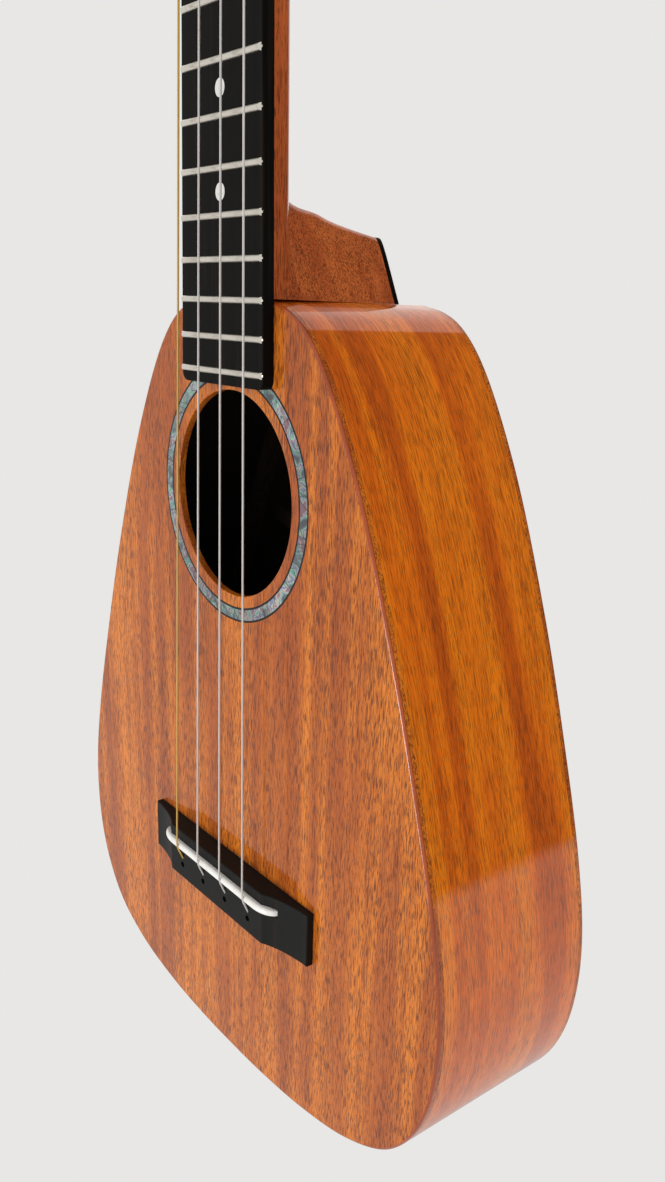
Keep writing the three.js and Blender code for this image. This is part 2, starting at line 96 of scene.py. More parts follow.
class Wire:  # one output of a node, which takes part in sums
    def __init__(self, graph, socket):
        self.graph = graph
        self.socket = socket

    def __add__(self, other):
        return self.graph.sum("ADD", self, other)

    def __sub__(self, other):
        return self.graph.sum("SUBTRACT", self, other)

    def __rsub__(self, other):
        return self.graph.sum("SUBTRACT", other, self)

    def __mul__(self, other):
        return self.graph.sum("MULTIPLY", self, other)

    __radd__ = __add__
    __rmul__ = __mul__


class Graph:  # the nodes of one material or world
    def __init__(self, owner):
        owner.use_nodes = True
        self.owner = owner
        self.tree = owner.node_tree
        self.tree.nodes.clear()

    def node(self, kind, settings=None, inputs=None, out=0):
        made = self.tree.nodes.new("ShaderNode" + kind)
        for name, value in (settings or {}).items():
            if name == "stops":
                self.setStops(made.color_ramp, value)
            else:
                setattr(made, name, value)
        for name, value in (inputs or {}).items():
            if isinstance(value, Wire):
                self.tree.links.new(value.socket, made.inputs[name])
            else:
                made.inputs[name].default_value = value
        return Wire(self, made.outputs[out]) if len(made.outputs) else None

    def setStops(self, ramp, stops):
        ramp.elements[0].position, ramp.elements[0].color = stops[0]
        ramp.elements[1].position, ramp.elements[1].color = stops[-1]
        for place, colour in stops[1:-1]:
            ramp.elements.new(place).color = colour

    def sum(self, operation, first, second=0.0):
        return self.node("Math", {"operation": operation}, {0: first, 1: second})

    def clip(self, value, low, high):  # 0 below low, 1 above high
        limits = {"From Min": low, "From Max": high}
        return self.node("MapRange", {"interpolation_type": "SMOOTHSTEP"}, {"Value": value, **limits})

    def blend(self, factor, first, second, mode="MIX"):
        settings = {"data_type": "RGBA", "blend_type": mode}
        return self.node("Mix", settings, {0: factor, 6: first, 7: second}, out=2)

    def where(self, output="Object", move=(0, 0, 0), scale=(1, 1, 1)):
        spot = self.node("TexCoord", out=output)
        return self.node("Mapping", None, {"Vector": spot, "Location": move, "Scale": scale})

    def noise(self, spot, scale=1.0, detail=2.0, rough=0.5, distort=0.0):
        values = {"Vector": spot, "Scale": scale, "Detail": detail, "Roughness": rough, "Distortion": distort}
        return self.node("TexNoise", None, values)

    def bump(self, height, strength, distance):
        return self.node("Bump", None, {"Height": height, "Strength": strength, "Distance": distance})

    def surface(self, values):
        shader = self.node("BsdfPrincipled", None, values)
        self.node("OutputMaterial", None, {"Surface": shader})
        return self.owner


def newGraph(name):
    return Graph(bpy.data.materials.new(name))


def colour(red, green, blue):
    return (red, green, blue, 1)


# ---- finishes


# Streaks along the second coordinate: each is that wide and long, in metres.
def streaks(graph, output, wide, long, detail=2.0, rough=0.5, distort=0.0, move=0.0):
    spot = graph.where(output, move=(move, move, move), scale=(1 / wide, 1 / long, 1 / wide))
    return graph.noise(spot, 1.0, detail, rough, distort)


def ribbonWood(name, look, output="Object"):
    graph = newGraph(name)
    broad = streaks(graph, output, 0.021, 0.34, 1.5, 0.45, 0.25, look["start"])
    narrow = streaks(graph, output, 0.0065, 0.22, 2.0, 0.5, 0.3, look["start"] + 5)
    patches = streaks(graph, output, 0.05, 0.045, 2.0, 0.5, 0.6, look["start"] + 9)
    ribbon = graph.clip(broad * 0.5 + narrow * 0.38 + patches * 0.12, 0.40, 0.60)
    stops = [(0.0, look["dark"]), (0.5, look["middle"]), (1.0, look["light"])]
    wood = graph.node("ValToRGB", {"stops": stops}, {"Fac": ribbon})
    fibres = streaks(graph, output, 0.0007, 0.03, 3.0, 0.6)
    wood = graph.blend(graph.clip(fibres, 0.35, 0.75) * look["fibres"], wood, look["fibreColour"])
    # Short open pores, thicker in some streaks than in others
    poreNoise = streaks(graph, output, *look["poreSize"], 2.0, 0.6, 0.3, 3.0)
    crowd = streaks(graph, output, 0.008, 0.07, 2.0, 0.5, 0.4, 7.0)
    pores = graph.clip(poreNoise + crowd * 0.16, 0.585, 0.67)
    flecks = streaks(graph, output, *look["fleckSize"], 2.5, 0.6, 0.4, 11.0)
    dark = graph.clip(flecks + crowd * 0.1, 0.61, 0.70) * 0.7
    wood = graph.blend(pores * look["pores"], wood, look["poreColour"])
    wood = graph.blend(dark * look["pores"], wood, look["poreColour"])
    bumps = graph.bump(1 - pores, 0.25, 0.00005)
    return graph.surface(
        {
            "Base Color": wood,
            "Roughness": 0.42 + fibres * 0.2,
            "Normal": bumps,
            "Specular IOR Level": look["shine"],
            "Coat Weight": look["coat"],
            "Coat Roughness": look["coatRoughness"],
            "Coat IOR": look["coatIndex"],
        }
    )


topLook = {
    "start": 0.0,
    "dark": colour(0.45, 0.100, 0.014),
    "middle": colour(0.63, 0.162, 0.016),
    "light": colour(0.82, 0.235, 0.020),
    "fibreColour": colour(0.36, 0.08, 0.010),
    "fibres": 0.4,
    "poreColour": colour(0.12, 0.024, 0.006),
    "pores": 0.8,
    "shine": 0.05,
    "coat": 1.0,
    "coatRoughness": 0.05,
    "coatIndex": 1.34,
    "poreSize": (0.00032, 0.0042),
    "fleckSize": (0.0006, 0.011),
}
# The sides: the top's mahogany in a deeper orange, with base colours raised to paint in light that the sides
# get too little of.
sideToneAndLightLook = {
    **topLook,
    "start": 2.0,
    "dark": colour(0.66, 0.115, 0.004),
    "middle": colour(0.88, 0.180, 0.004),
    "light": colour(0.97, 0.245, 0.006),
    "coatIndex": 1.45,
    "pores": 0.55,
    "poreSize": (0.00026, 0.0060),
    "fleckSize": (0.0005, 0.016),
}
neckLook = {
    **topLook,
    "start": 4.0,
    "dark": colour(0.44, 0.090, 0.020),
    "middle": colour(0.56, 0.122, 0.026),
    "light": colour(0.68, 0.165, 0.034),
    "coatRoughness": 0.12,
    "coatIndex": 1.5,
}
# A darker copy of the top wood for the rounded plate edges: painted shade along the edge line.
edgeShadeLook = {
    **topLook,
    "dark": colour(0.34, 0.050, 0.006),
    "middle": colour(0.42, 0.065, 0.008),
    "light": colour(0.50, 0.085, 0.010),
    "pores": 0.2,
    "coatIndex": 1.6,
}


def plainWood(name, light, dark):
    graph = newGraph(name)
    growth = streaks(graph, "Object", 0.0016, 0.12, 2.0, 0.5, 0.2)
    fibres = streaks(graph, "Object", 0.0004, 0.02, 2.0)
    wood = graph.blend(graph.clip(growth, 0.35, 0.65), light, dark)
    wood = graph.blend(fibres * 0.4, wood, dark)
    bumps = graph.bump(fibres, 0.2, 0.00005)
    return graph.surface({"Base Color": wood, "Roughness": 0.7 + growth * 0.15, "Normal": bumps})


def ebonyWood(name, roughness, shine, black=(0.0045, 0.0043, 0.0040)):
    graph = newGraph(name)
    streak = streaks(graph, "Object", 0.0022, 0.09, 3.0, 0.55, 0.2)
    fibres = streaks(graph, "Object", 0.0003, 0.006, 2.0)
    wood = graph.blend(graph.clip(streak, 0.52, 0.74) * 0.6, colour(*black), colour(0.020, 0.011, 0.006))
    wood = graph.blend(graph.clip(fibres, 0.6, 0.72) * 0.6, wood, colour(0.004, 0.003, 0.003))
    bumps = graph.bump(1 - graph.clip(fibres, 0.6, 0.72), 0.3, 0.00004)
    shade = {"Base Color": wood, "Roughness": roughness + fibres * 0.14, "Normal": bumps}
    return graph.surface({**shade, "Specular IOR Level": shine})


def shell(name, centre, segments):
    graph = newGraph(name)
    spot = graph.where("Object", move=(-centre.x * mm, -centre.y * mm, 0))
    parts = graph.node("SeparateXYZ", None, {0: spot}).socket.node.outputs
    across, along = Wire(graph, parts[0]), Wire(graph, parts[1])
    turn = graph.sum("ARCTAN2", along, across) * (segments / math.tau) + 0.37
    count = graph.sum("FLOOR", turn)
    joint = graph.sum("ABSOLUTE", turn - count - 0.5)
    pick = graph.node("TexWhiteNoise", {"noise_dimensions": "1D"}, {"W": count})
    shift = graph.node("VectorMath", {"operation": "MULTIPLY_ADD"}, {0: pick, 1: (0.3, 0.3, 0.3), 2: spot})
    swirl = graph.noise(shift, 230.0, 1.0, 0.4, 0.5)
    bands = graph.noise(shift, 80.0, 1.0, 0.4, 0.8)
    stops = [
        (0.05, colour(0.04, 0.05, 0.06)),
        (0.20, colour(0.16, 0.26, 0.30)),
        (0.33, colour(0.10, 0.42, 0.30)),
        (0.45, colour(0.50, 0.66, 0.50)),
        (0.55, colour(0.42, 0.20, 0.34)),
        (0.66, colour(0.10, 0.24, 0.44)),
        (0.78, colour(0.62, 0.60, 0.48)),
        (0.95, colour(0.30, 0.14, 0.20)),
    ]
    tint = graph.node("ValToRGB", {"stops": stops}, {"Fac": graph.clip(swirl, 0.28, 0.72)})
    tint = graph.blend(graph.clip(bands, 0.45, 0.6) * 0.3, tint, colour(0.26, 0.33, 0.32))
    rings = graph.sum("PINGPONG", bands * 11.0, 0.5)
    mood = graph.noise(spot, 60.0, 1.0, 0.4)
    dim = graph.blend(0.5, tint, colour(0.03, 0.035, 0.04), "MULTIPLY")
    tint = graph.blend(graph.clip(mood, 0.36, 0.56) * 0.8, tint, dim)
    cracks = 1 - graph.clip(rings, 0.03, 0.13)
    seam = graph.clip(joint, 0.488, 0.496)
    tint = graph.blend(graph.sum("MAXIMUM", cracks * 0.85, seam), tint, colour(0.03, 0.03, 0.035))
    return graph.surface(
        {
            "Base Color": tint,
            "Roughness": 0.2 + swirl * 0.15,
            "Metallic": graph.clip(swirl, 0.4, 0.6) * 0.35,
            "Coat Weight": 1.0,
            "Coat Roughness": 0.04,
        }
    )


def metal(name, tint, dull, roughness, brushed):
    graph = newGraph(name)
    spot = graph.where("Object", scale=brushed)
    lines = graph.noise(spot, 1.0, 3.0, 0.6)
    smudge = graph.noise(graph.where("Object"), 140.0, 3.0, 0.6)
    shade = graph.blend(graph.clip(smudge, 0.4, 0.75) * 0.5, colour(*tint), colour(*dull))
    return graph.surface(
        {
            "Base Color": shade,
            "Metallic": 1.0,
            "Roughness": roughness + lines * 0.12 + smudge * 0.08,
            "Normal": graph.bump(lines, 0.12, 0.00002),
        }
    )


def boneLike(name, light, dark, roughness):
    graph = newGraph(name)
    cloud = graph.noise(graph.where("Object"), 260.0, 3.0, 0.6, 0.6)
    grain = streaks(graph, "Object", 0.0025, 0.0004, 2.0)
    shade = graph.blend(graph.clip(cloud, 0.4, 0.7), colour(*light), colour(*dark))
    shade = graph.blend(graph.clip(grain, 0.6, 0.75) * 0.35, shade, colour(*dark))
    return graph.surface({"Base Color": shade, "Roughness": roughness + cloud * 0.1, "Coat Weight": 0.3})


def pearl(name):
    graph = newGraph(name)
    cloud = graph.noise(graph.where("Object"), 230.0, 4.0, 0.6, 1.8)
    stops = [
        (0.30, colour(0.62, 0.60, 0.56)),
        (0.45, colour(0.80, 0.78, 0.74)),
        (0.55, colour(0.72, 0.76, 0.75)),
        (0.65, colour(0.86, 0.80, 0.78)),
        (0.80, colour(0.90, 0.89, 0.86)),
    ]
    shade = graph.node("ValToRGB", {"stops": stops}, {"Fac": cloud})
    return graph.surface({"Base Color": shade, "Roughness": 0.2 + cloud * 0.15, "Coat Weight": 0.6})


def nylon(name, light, dark, see):
    graph = newGraph(name)
    cloud = streaks(graph, "Object", 0.0004, 0.02, 2.0)
    shade = graph.blend(cloud, colour(*light), colour(*dark))
    values = {"Base Color": shade, "Roughness": 0.18 + cloud * 0.1}
    return graph.surface({**values, "Transmission Weight": see, "IOR": 1.45})


topWood = ribbonWood("glossy mahogany top", topLook)
backWood = ribbonWood("glossy mahogany back", {**topLook, "start": 6.0})
# The side wood's base colours are partly its own tone and partly painted light.
sideWoodWithPaintedLight = ribbonWood("glossy mahogany side with painted light", sideToneAndLightLook, "UV")
neckWood = ribbonWood("mahogany neck", neckLook)
# The rounded plate edges get a darker wood, painted shade along the edge.
edgeShadeWood = ribbonWood("edge wood with painted shade", edgeShadeLook)
innerWood = plainWood("inside wood", colour(0.05, 0.028, 0.014), colour(0.03, 0.016, 0.008))
hollowWood = plainWood("shaded inside", colour(0.012, 0.006, 0.003), colour(0.007, 0.003, 0.002))
ebonyBoard = ebonyWood("ebony fretboard", 0.36, 0.05)
ebonyBridge = ebonyWood("ebony bridge", 0.42, 0.12, (0.007, 0.007, 0.0065))
abalone = shell("abalone", holeCentre, 14)
blackLine = ebonyWood("black line", 0.3, 0.3)
fretMetal = metal("fret wire", (0.86, 0.82, 0.74), (0.66, 0.60, 0.50), 0.2, (300, 2500, 300))
nickel = metal("nickel plate", (0.80, 0.78, 0.74), (0.62, 0.60, 0.56), 0.16, (2600, 160, 160))
brass = metal("gear brass", (0.72, 0.50, 0.22), (0.50, 0.34, 0.14), 0.22, (1800, 1800, 200))
bone = boneLike("bone", (0.97, 0.96, 0.93), (0.90, 0.87, 0.80), 0.22)
pearlShade = pearl("pearl")
clearNylon = nylon("clear string", (0.86, 0.83, 0.80), (0.72, 0.66, 0.62), 0.25)
goldNylon = nylon("golden string", (0.80, 0.52, 0.12), (0.62, 0.36, 0.06), 0.15)
print("finishes made")


# ---- stage: a pale floor and soft light all round

stage = {
    "floorHalf": 80.0,
    "floorDrop": 0.0003,
    "floorColour": colour(0.807, 0.799, 0.783),
    "skyUp": colour(0.80, 0.79, 0.78),
    "skyDown": colour(0.008, 0.008, 0.008),
    "lowGlow": colour(1.25, 1.16, 1.12),
    "glowHeights": (-0.95, -0.78),
    "glowTurns": (-12.0, 97.0),
    "glowEdge": 1.5,
    "skyStrength": 0.85,
}


def makeFloor():
    graph = newGraph("pale floor")
    shade = graph.node("Emission", None, {"Color": stage["floorColour"], "Strength": 1.0})
    graph.node("OutputMaterial", None, {"Surface": shade})
    mesh = bmesh.new()
    bmesh.ops.create_grid(mesh, x_segments=1, y_segments=1, size=stage["floorHalf"])
    bmesh.ops.translate(mesh, verts=mesh.verts[:], vec=(0, 0, -stage["floorDrop"]))
    data = bpy.data.meshes.new("floor")
    mesh.to_mesh(data)
    mesh.free()
    data.materials.append(graph.owner)
    floor = bpy.data.objects.new("floor", data)
    floor.visible_glossy = False
    bpy.context.scene.collection.objects.link(floor)


def makeSky():
    world = bpy.data.worlds.new("studio")
    bpy.context.scene.world = world
    graph = Graph(world)
    aim = graph.node("TexCoord", out="Generated")
    parts = graph.node("SeparateXYZ", None, {0: aim}).socket.node.outputs
    turn = graph.sum("ARCTAN2", Wire(graph, parts[1]), Wire(graph, parts[0])) * (180 / math.pi)
    height = Wire(graph, parts[2])
    # Below the horizon the glow leaves a dark stretch between two compass directions
    first, last = stage["glowTurns"]
    edge = stage["glowEdge"]
    aside = graph.clip(turn, -150.0, -50.0) * 0.6 + 0.4 - graph.clip(turn, first - edge, first + edge)
    aside = aside + graph.clip(turn, last - edge, last + edge)
    glow = graph.clip(height, *stage["glowHeights"]) * aside
    low = graph.blend(glow, stage["skyDown"], stage["lowGlow"])
    shade = graph.blend(graph.clip(height, -0.03, 0.03), low, stage["skyUp"])
    light = graph.node("Background", None, {"Color": shade, "Strength": stage["skyStrength"]})
    graph.node("OutputWorld", None, {"Surface": light})


def addLight(name, place, target, size, power):
    data = bpy.data.lights.new(name, "AREA")
    data.shape = "RECTANGLE"
    data.size, data.size_y = size
    data.energy = power
    lamp = bpy.data.objects.new(name, data)
    lamp.location = place
    aim = Vector(target) - Vector(place)
    lamp.rotation_euler = aim.to_track_quat("-Z", "Y").to_euler()
    bpy.context.scene.collection.objects.link(lamp)


makeFloor()
makeSky()
addLight("overhead", (-0.15, -0.25, 1.6), (0, 0.05, 0), (0.6, 0.6), 10.0)
bpy.context.scene.view_settings.view_transform = "Standard"
print("stage made")


# ---- drawing helpers


def smoothPath(corners, steps):  # a centripetal curve through the corners
    points = [Vector(corner) for corner in corners]
    points = [2 * points[0] - points[1], *points, 2 * points[-1] - points[-2]]
    path = []
    for a, b, c, d in zip(points, points[1:], points[2:], points[3:]):
        atB = (b - a).length ** 0.5
        atC = atB + (c - b).length ** 0.5
        atD = atC + (d - c).length ** 0.5
        for step in range(steps):
            t = atB + (atC - atB) * step / steps
            ab = a.lerp(b, t / atB)
            bc = b.lerp(c, (t - atB) / (atC - atB))
            cd = c.lerp(d, (t - atC) / (atD - atC))
            abc = ab.lerp(bc, t / atC)
            bcd = bc.lerp(cd, (t - atB) / (atD - atB))
            path.append(abc.lerp(bcd, (t - atB) / (atC - atB)))
    return path + [points[-2]]


def bezier(a, b, c, d, steps):
    points = []
    a, b, c, d = Vector(a), Vector(b), Vector(c), Vector(d)
    for step in range(steps + 1):
        t = step / steps
        s = 1 - t
        points.append(s**3 * a + 3 * s * s * t * b + 3 * s * t * t * c + t**3 * d)
    return points


# A sheet of quads through rings of equally many points, sewn shut round each ring.
# It ends in flat caps, or runs on from the last ring to the first.
def skin(mesh, rings, runsOn=False):
    rows = rings + rings[:1] if runsOn else rings
    across, along = len(rings[0]), len(rows) - 1
    sheet = bmesh.ops.create_grid(mesh, x_segments=across, y_segments=along, size=1)["verts"]
    for vert in sheet:
        i = round((vert.co.x + 1) / 2 * across) % across
        j = round((vert.co.y + 1) / 2 * along)
        vert.co = rows[j][i]
    bmesh.ops.remove_doubles(mesh, verts=sheet, dist=1e-4)
    if not runsOn:
        rims = [edge for edge in mesh.edges if edge.is_boundary]
        bmesh.ops.edgeloop_fill(mesh, edges=rims)


def slab(mesh, outline, low, high):  # an outline in X and Y, given a thickness
    verts = [mesh.verts.new((point.x, point.y, low)) for point in outline]
    face = mesh.faces.new(verts)
    raised = bmesh.ops.extrude_face_region(mesh, geom=[face])["geom"]
    moved = [item for item in raised if isinstance(item, bmesh.types.BMVert)]
    bmesh.ops.translate(mesh, verts=moved, vec=(0, 0, high - low))


def faceOut(mesh):
    bmesh.ops.recalc_face_normals(mesh, faces=mesh.faces[:])


def otherHalf(points):  # the same points on the left, in the order that closes the outline
    return [Vector((-point[0], *point[1:])) for point in reversed(points)]


def sideways(y=0, z=0):  # lays a slab drawn in Y and Z along X
    return Matrix(((0, 0, 1, 0), (1, 0, 0, y), (0, 1, 0, z), (0, 0, 0, 1)))


def softenEdges(mesh, width, segments=3, angle=35, keep=None):
    limit = math.radians(angle)
    edges = [edge for edge in mesh.edges if edge.calc_face_angle(0) > limit and (keep is None or keep(edge))]
    bmesh.ops.bevel(
        mesh,
        geom=edges,
        affect="EDGES",
        offset=width,
        segments=segments,
        profile=0.5,
        material=-1,
        clamp_overlap=True,
    )


def barrel(mesh, low, high, radius, place=(0, 0), segments=32, radiusTop=None):
    bmesh.ops.create_cone(
        mesh,
        cap_ends=True,
        segments=segments,
        radius1=radius,
        radius2=radius if radiusTop is None else radiusTop,
        depth=high - low,
        matrix=Matrix.Translation((place[0], place[1], (low + high) / 2)),
    )


def crossBarrel(mesh, x0, x1, y, z, radius, segments=24):
    matrix = Matrix.Translation(((x0 + x1) / 2, y, z)) @ Matrix.Rotation(math.pi / 2, 4, "Y")
    size = {"radius1": radius, "radius2": radius, "depth": abs(x1 - x0)}
    bmesh.ops.create_cone(mesh, cap_ends=True, segments=segments, matrix=matrix, **size)


def box(mesh, low, high):
    low, high = Vector(low), Vector(high)
    matrix = Matrix.Translation((low + high) / 2) @ Matrix.Diagonal((*(high - low), 1))
    bmesh.ops.create_cube(mesh, size=1, matrix=matrix)


def moveMesh(mesh, matrix):
    bmesh.ops.transform(mesh, matrix=matrix, verts=mesh.verts[:])


def asObject(name, mesh):
    faceOut(mesh)
    bmesh.ops.scale(mesh, vec=(mm, mm, mm), verts=mesh.verts[:])
    data = bpy.data.meshes.new(name)
    mesh.to_mesh(data)
    mesh.free()
    piece = bpy.data.objects.new(name, data)
    bpy.context.scene.collection.objects.link(piece)
    return piece


def carve(piece, cutter):  # takes the cutter's shape out of the piece
    tool = asObject("cutter", cutter)
    change = piece.modifiers.new("carve", "BOOLEAN")
    change.operation = "DIFFERENCE"
    change.solver = "EXACT"
    change.object = tool
    ready = piece.evaluated_get(bpy.context.evaluated_depsgraph_get())
    carved = bpy.data.meshes.new_from_object(ready)
    piece.modifiers.remove(change)
    piece.data = carved
    bpy.data.objects.remove(tool)


def finishPiece(piece, materials, replaced=(), body="instrument", angle=35):
    for material in materials if isinstance(materials, list) else [materials]:
        piece.data.materials.append(material)
    mesh = bmesh.new()
    mesh.from_mesh(piece.data)
    limit = math.radians(angle)
    for face in mesh.faces:
        face.smooth = True
    for edge in mesh.edges:
        edge.smooth = edge.calc_face_angle(0) < limit
    mesh.to_mesh(piece.data)
    mesh.free()
    weigh = piece.modifiers.new("even shading", "WEIGHTED_NORMAL")
    weigh.keep_sharp = True
    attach(piece, body)
    if replaced:
        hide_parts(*replaced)
    return piece


def wirePiece(name, points, radius, material, replaced=(), body="instrument"):
    data = bpy.data.curves.new(name, "CURVE")
    data.dimensions = "3D"
    data.bevel_depth = radius * mm
    data.bevel_resolution = 3
    data.use_fill_caps = True
    spline = data.splines.new("POLY")
    spline.points.add(len(points) - 1)
    for spot, point in zip(spline.points, points):
        spot.co = (*(Vector(point) * mm), 1)
    spline.use_smooth = True
    data.materials.append(material)
    piece = bpy.data.objects.new(name, data)
    bpy.context.scene.collection.objects.link(piece)
    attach(piece, body)
    if replaced:
        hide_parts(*replaced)
    return piece


# ---- body

bodyShape = {
    "half": [
        (18, 193),
        (27, 191.1),
        (35, 187.2),
        (45.5, 176.5),
        (62.8, 146.4),
        (80.9, 102.3),
        (93.1, 66.2),
        (104.7, 26.8),
        (109.9, 0),
        (110.4, -20),
        (107.5, -37.6),
        (101, -52.5),
        (90, -65.4),
        (70.4, -75.6),
        (45.3, -81.4),
        (20, -83.8),
        (0, -84.2),
    ],
    "steps": 9,
    "flatStep": 4.0,
    "within": 0.08,
    "edgeRadius": 1.0,
    "edgeSteps": 8,
    "sideThickness": 2.0,
    "seam": 0.05,
    "holeRadius": 33.2,
    "holeRim": 0.5,
}


def bodyCurve():  # clockwise from the neck end's right corner, then along the flat end
    mirrored = [(-x, y) for x, y in reversed(bodyShape["half"][:-1])]
    path = smoothPath(bodyShape["half"] + mirrored, bodyShape["steps"])
    corner = bodyShape["half"][0][0]
    count = int(2 * corner / bodyShape["flatStep"])
    flat = [Vector((-corner + 2 * corner * i / count, neckEnd)) for i in range(1, count)]
    return path + flat


bodyLoop = bodyCurve()


def bodyNormals(loop):
    normals = []
    for before, after in zip(loop[-1:] + loop[:-1], loop[1:] + loop[:1]):
        along = (after - before).normalized()
        normals.append(Vector((along.y, -along.x)))
    return normals


bodyInward = bodyNormals(bodyLoop)


def bodyRing(inset, z):
    ring = []
    for point, inward in zip(bodyLoop, bodyInward):
        moved = point + inward * (inset + bodyShape["within"])
        ring.append(Vector((moved.x, moved.y, z)))
    return ring


def roundedEdge(flatZ, upward):  # rings from the flat face out and round to the side wall
    radius = bodyShape["edgeRadius"]
    rings = []
    for step in range(bodyShape["edgeSteps"] + 1):
        angle = math.pi / 2 * (1 - step / bodyShape["edgeSteps"])
        drop = radius * (1 - math.sin(angle))
        rings.append(bodyRing(radius * (1 - math.cos(angle)), flatZ - upward * drop))
    return rings


def markEdge(piece, flatZ, inward):  # the rounding takes the second material, a darker copy of the wood that paints shade along the edge, the inside the third
    for face in piece.data.polygons:
        if face.normal.z * inward > 0.9:
            face.material_index = 2
        away = (face.center.xy / mm - holeCentre).length
        drop = abs(face.center.z / mm - flatZ)
        if away > bodyShape["holeRadius"] + 5 and 0.03 < drop < bodyShape["edgeRadius"]:
            face.material_index = 1


def makeSoundboard():
    radius, rim = bodyShape["holeRadius"], bodyShape["holeRim"]

    def holeRing(away, z):
        spots = [holeCentre + (point - holeCentre).normalized() * away for point in bodyLoop]
        return [Vector((spot.x, spot.y, z)) for spot in spots]

    mesh = bmesh.new()
    inner = [holeRing(radius + 3, topZ), holeRing(radius + rim, topZ)]
    inner += [holeRing(radius + rim * 0.3, topZ - rim * 0.3), holeRing(radius, topZ - rim)]
    inner.append(holeRing(radius, boardBase))
    rings = [bodyRing(0, boardBase)] + roundedEdge(topZ, 1)[::-1] + inner
    skin(mesh, rings, runsOn=True)
    piece = asObject("top_board", mesh)
    markEdge(piece, topZ, -1)
    finishPiece(piece, [topWood, edgeShadeWood, hollowWood], ["soundboard"])


def makeBack():
    mesh = bmesh.new()
    skin(mesh, roundedEdge(0, -1) + [bodyRing(0, backTop)])
    piece = asObject("back_board", mesh)
    markEdge(piece, 0, 1)
    finishPiece(piece, [backWood, edgeShadeWood, hollowWood], ["back_plate"])


def makeSides():
    arcs, length = [], 0.0
    for before, point in zip(bodyLoop[-1:] + bodyLoop[:-1], bodyLoop):
        arcs.append(length)
        length += (point - before).length
    thickness = bodyShape["sideThickness"]
    outer, inner = bodyRing(0, 0), bodyRing(thickness, 0)
    for name, side in (("right", 1), ("left", -1)):
        stations = [i for i, point in enumerate(bodyLoop) if point.x * side > 0.5]
        first = [i for i in stations if bodyLoop[i].y > neckEnd - 0.01]
        rest = [i for i in stations if i not in first]
        order = sorted(first, key=lambda i: abs(bodyLoop[i].x)) + (rest if side > 0 else rest[::-1])
        spots = [(outer[i], inner[i], arcs[i]) for i in order]
        seam = bodyShape["seam"] * side
        start = (Vector((seam, neckEnd, 0)), Vector((seam, neckEnd - thickness, 0)), 0.0)
        tailY = boardLow.y
        lowest = bodyLoop.index(min(bodyLoop, key=lambda point: point.y))
        end = (Vector((seam, tailY, 0)), Vector((seam, tailY + thickness, 0)), arcs[lowest])
        spots = [start, *spots, end]
        rings = []
        lookup = {}
        for outside, inside, arc in spots:
            rings.append(
                [
                    Vector((outside.x, outside.y, backTop)),
                    Vector((outside.x, outside.y, boardBase)),
                    Vector((inside.x, inside.y, boardBase)),
                    Vector((inside.x, inside.y, backTop)),
                ]
            )
            lookup[(round(outside.x, 2), round(outside.y, 2))] = arc
            lookup[(round(inside.x, 2), round(inside.y, 2))] = arc
        mesh = bmesh.new()
        skin(mesh, rings)
        grain = mesh.loops.layers.uv.new("grain")
        for face in mesh.faces:
            for loop in face.loops:
                spot = loop.vert.co
                loop[grain].uv = (spot.z * mm, lookup[(round(spot.x, 2), round(spot.y, 2))] * mm)
        piece = asObject("side_wall_" + name, mesh)
        for face in piece.data.polygons:
            if face.center.xy.dot(face.normal.xy) < -0.01:
                face.material_index = 1
        finishPiece(piece, [sideWoodWithPaintedLight, hollowWood], ["side_" + name])


makeSoundboard()
makeBack()
makeSides()
print("body made")


# ---- rosette

rosetteShape = {"line": 0.7, "shell": 3.5, "proud": 0.03, "steps": 160}


def flatRing(name, inner, outer, top, material, replaced=()):
    mesh = bmesh.new()
    bottom = topZ - 0.8
    corners = [(inner, bottom), (outer, bottom), (outer, top), (inner, top)]
    verts = [mesh.verts.new((radius, holeCentre.y, z)) for radius, z in corners]
    edges = [mesh.edges.new((a, b)) for a, b in zip(verts, verts[1:] + verts[:1])]
    centre = (holeCentre.x, holeCentre.y, 0)
    bmesh.ops.spin(
        mesh,
        geom=verts + edges,
        cent=centre,
        axis=(0, 0, 1),
        angle=math.tau,
        steps=rosetteShape["steps"],
        use_merge=True,
    )
    finishPiece(asObject(name, mesh), material, replaced)


def makeRosette():
    outer = rosetteHigh.x
    outer = outer - 0.3
    inner = outer - rosetteShape["shell"]
    line, top = rosetteShape["line"], topZ + rosetteShape["proud"]
    flatRing("rosette_shell", inner, outer, top, abalone, ["rosette"])
    flatRing("line_inside", inner - line, inner, top - 0.01, blackLine)
    flatRing("line_outside", outer, outer + line, top - 0.01, blackLine)


makeRosette()
print("rosette made")


# ---- bridge and saddle

bridgeLow, bridgeHigh = sizes("bridge")
saddleLow, saddleHigh = sizes("saddle")
bridgeShape = {
    "wing": 2.65,
    "blockHalf": 30.5,
    "bend": (36.5, 3.9),
    "slopeEnd": 49.0,
    "slopeSteps": 14,
    "edge": 0.45,
    "holeY": -12.1,
    "holeRadius": 1.15,
    "rampReach": 4.6,
    "rampLow": 4.6,
    "slotGap": 0.12,
}
saddleShape = {"floor": 2.0, "shoulder": 27.0, "endHeight": 4.4, "stations": 60}
spacing = {"nut": 9.4, "saddle": 14.8}
scaleLength = fretboardHigh.y


def stringX(number, y):
    step = spacing["nut"] + (spacing["saddle"] - spacing["nut"]) * (1 - y / scaleLength)
    return (number - 2.5) * step


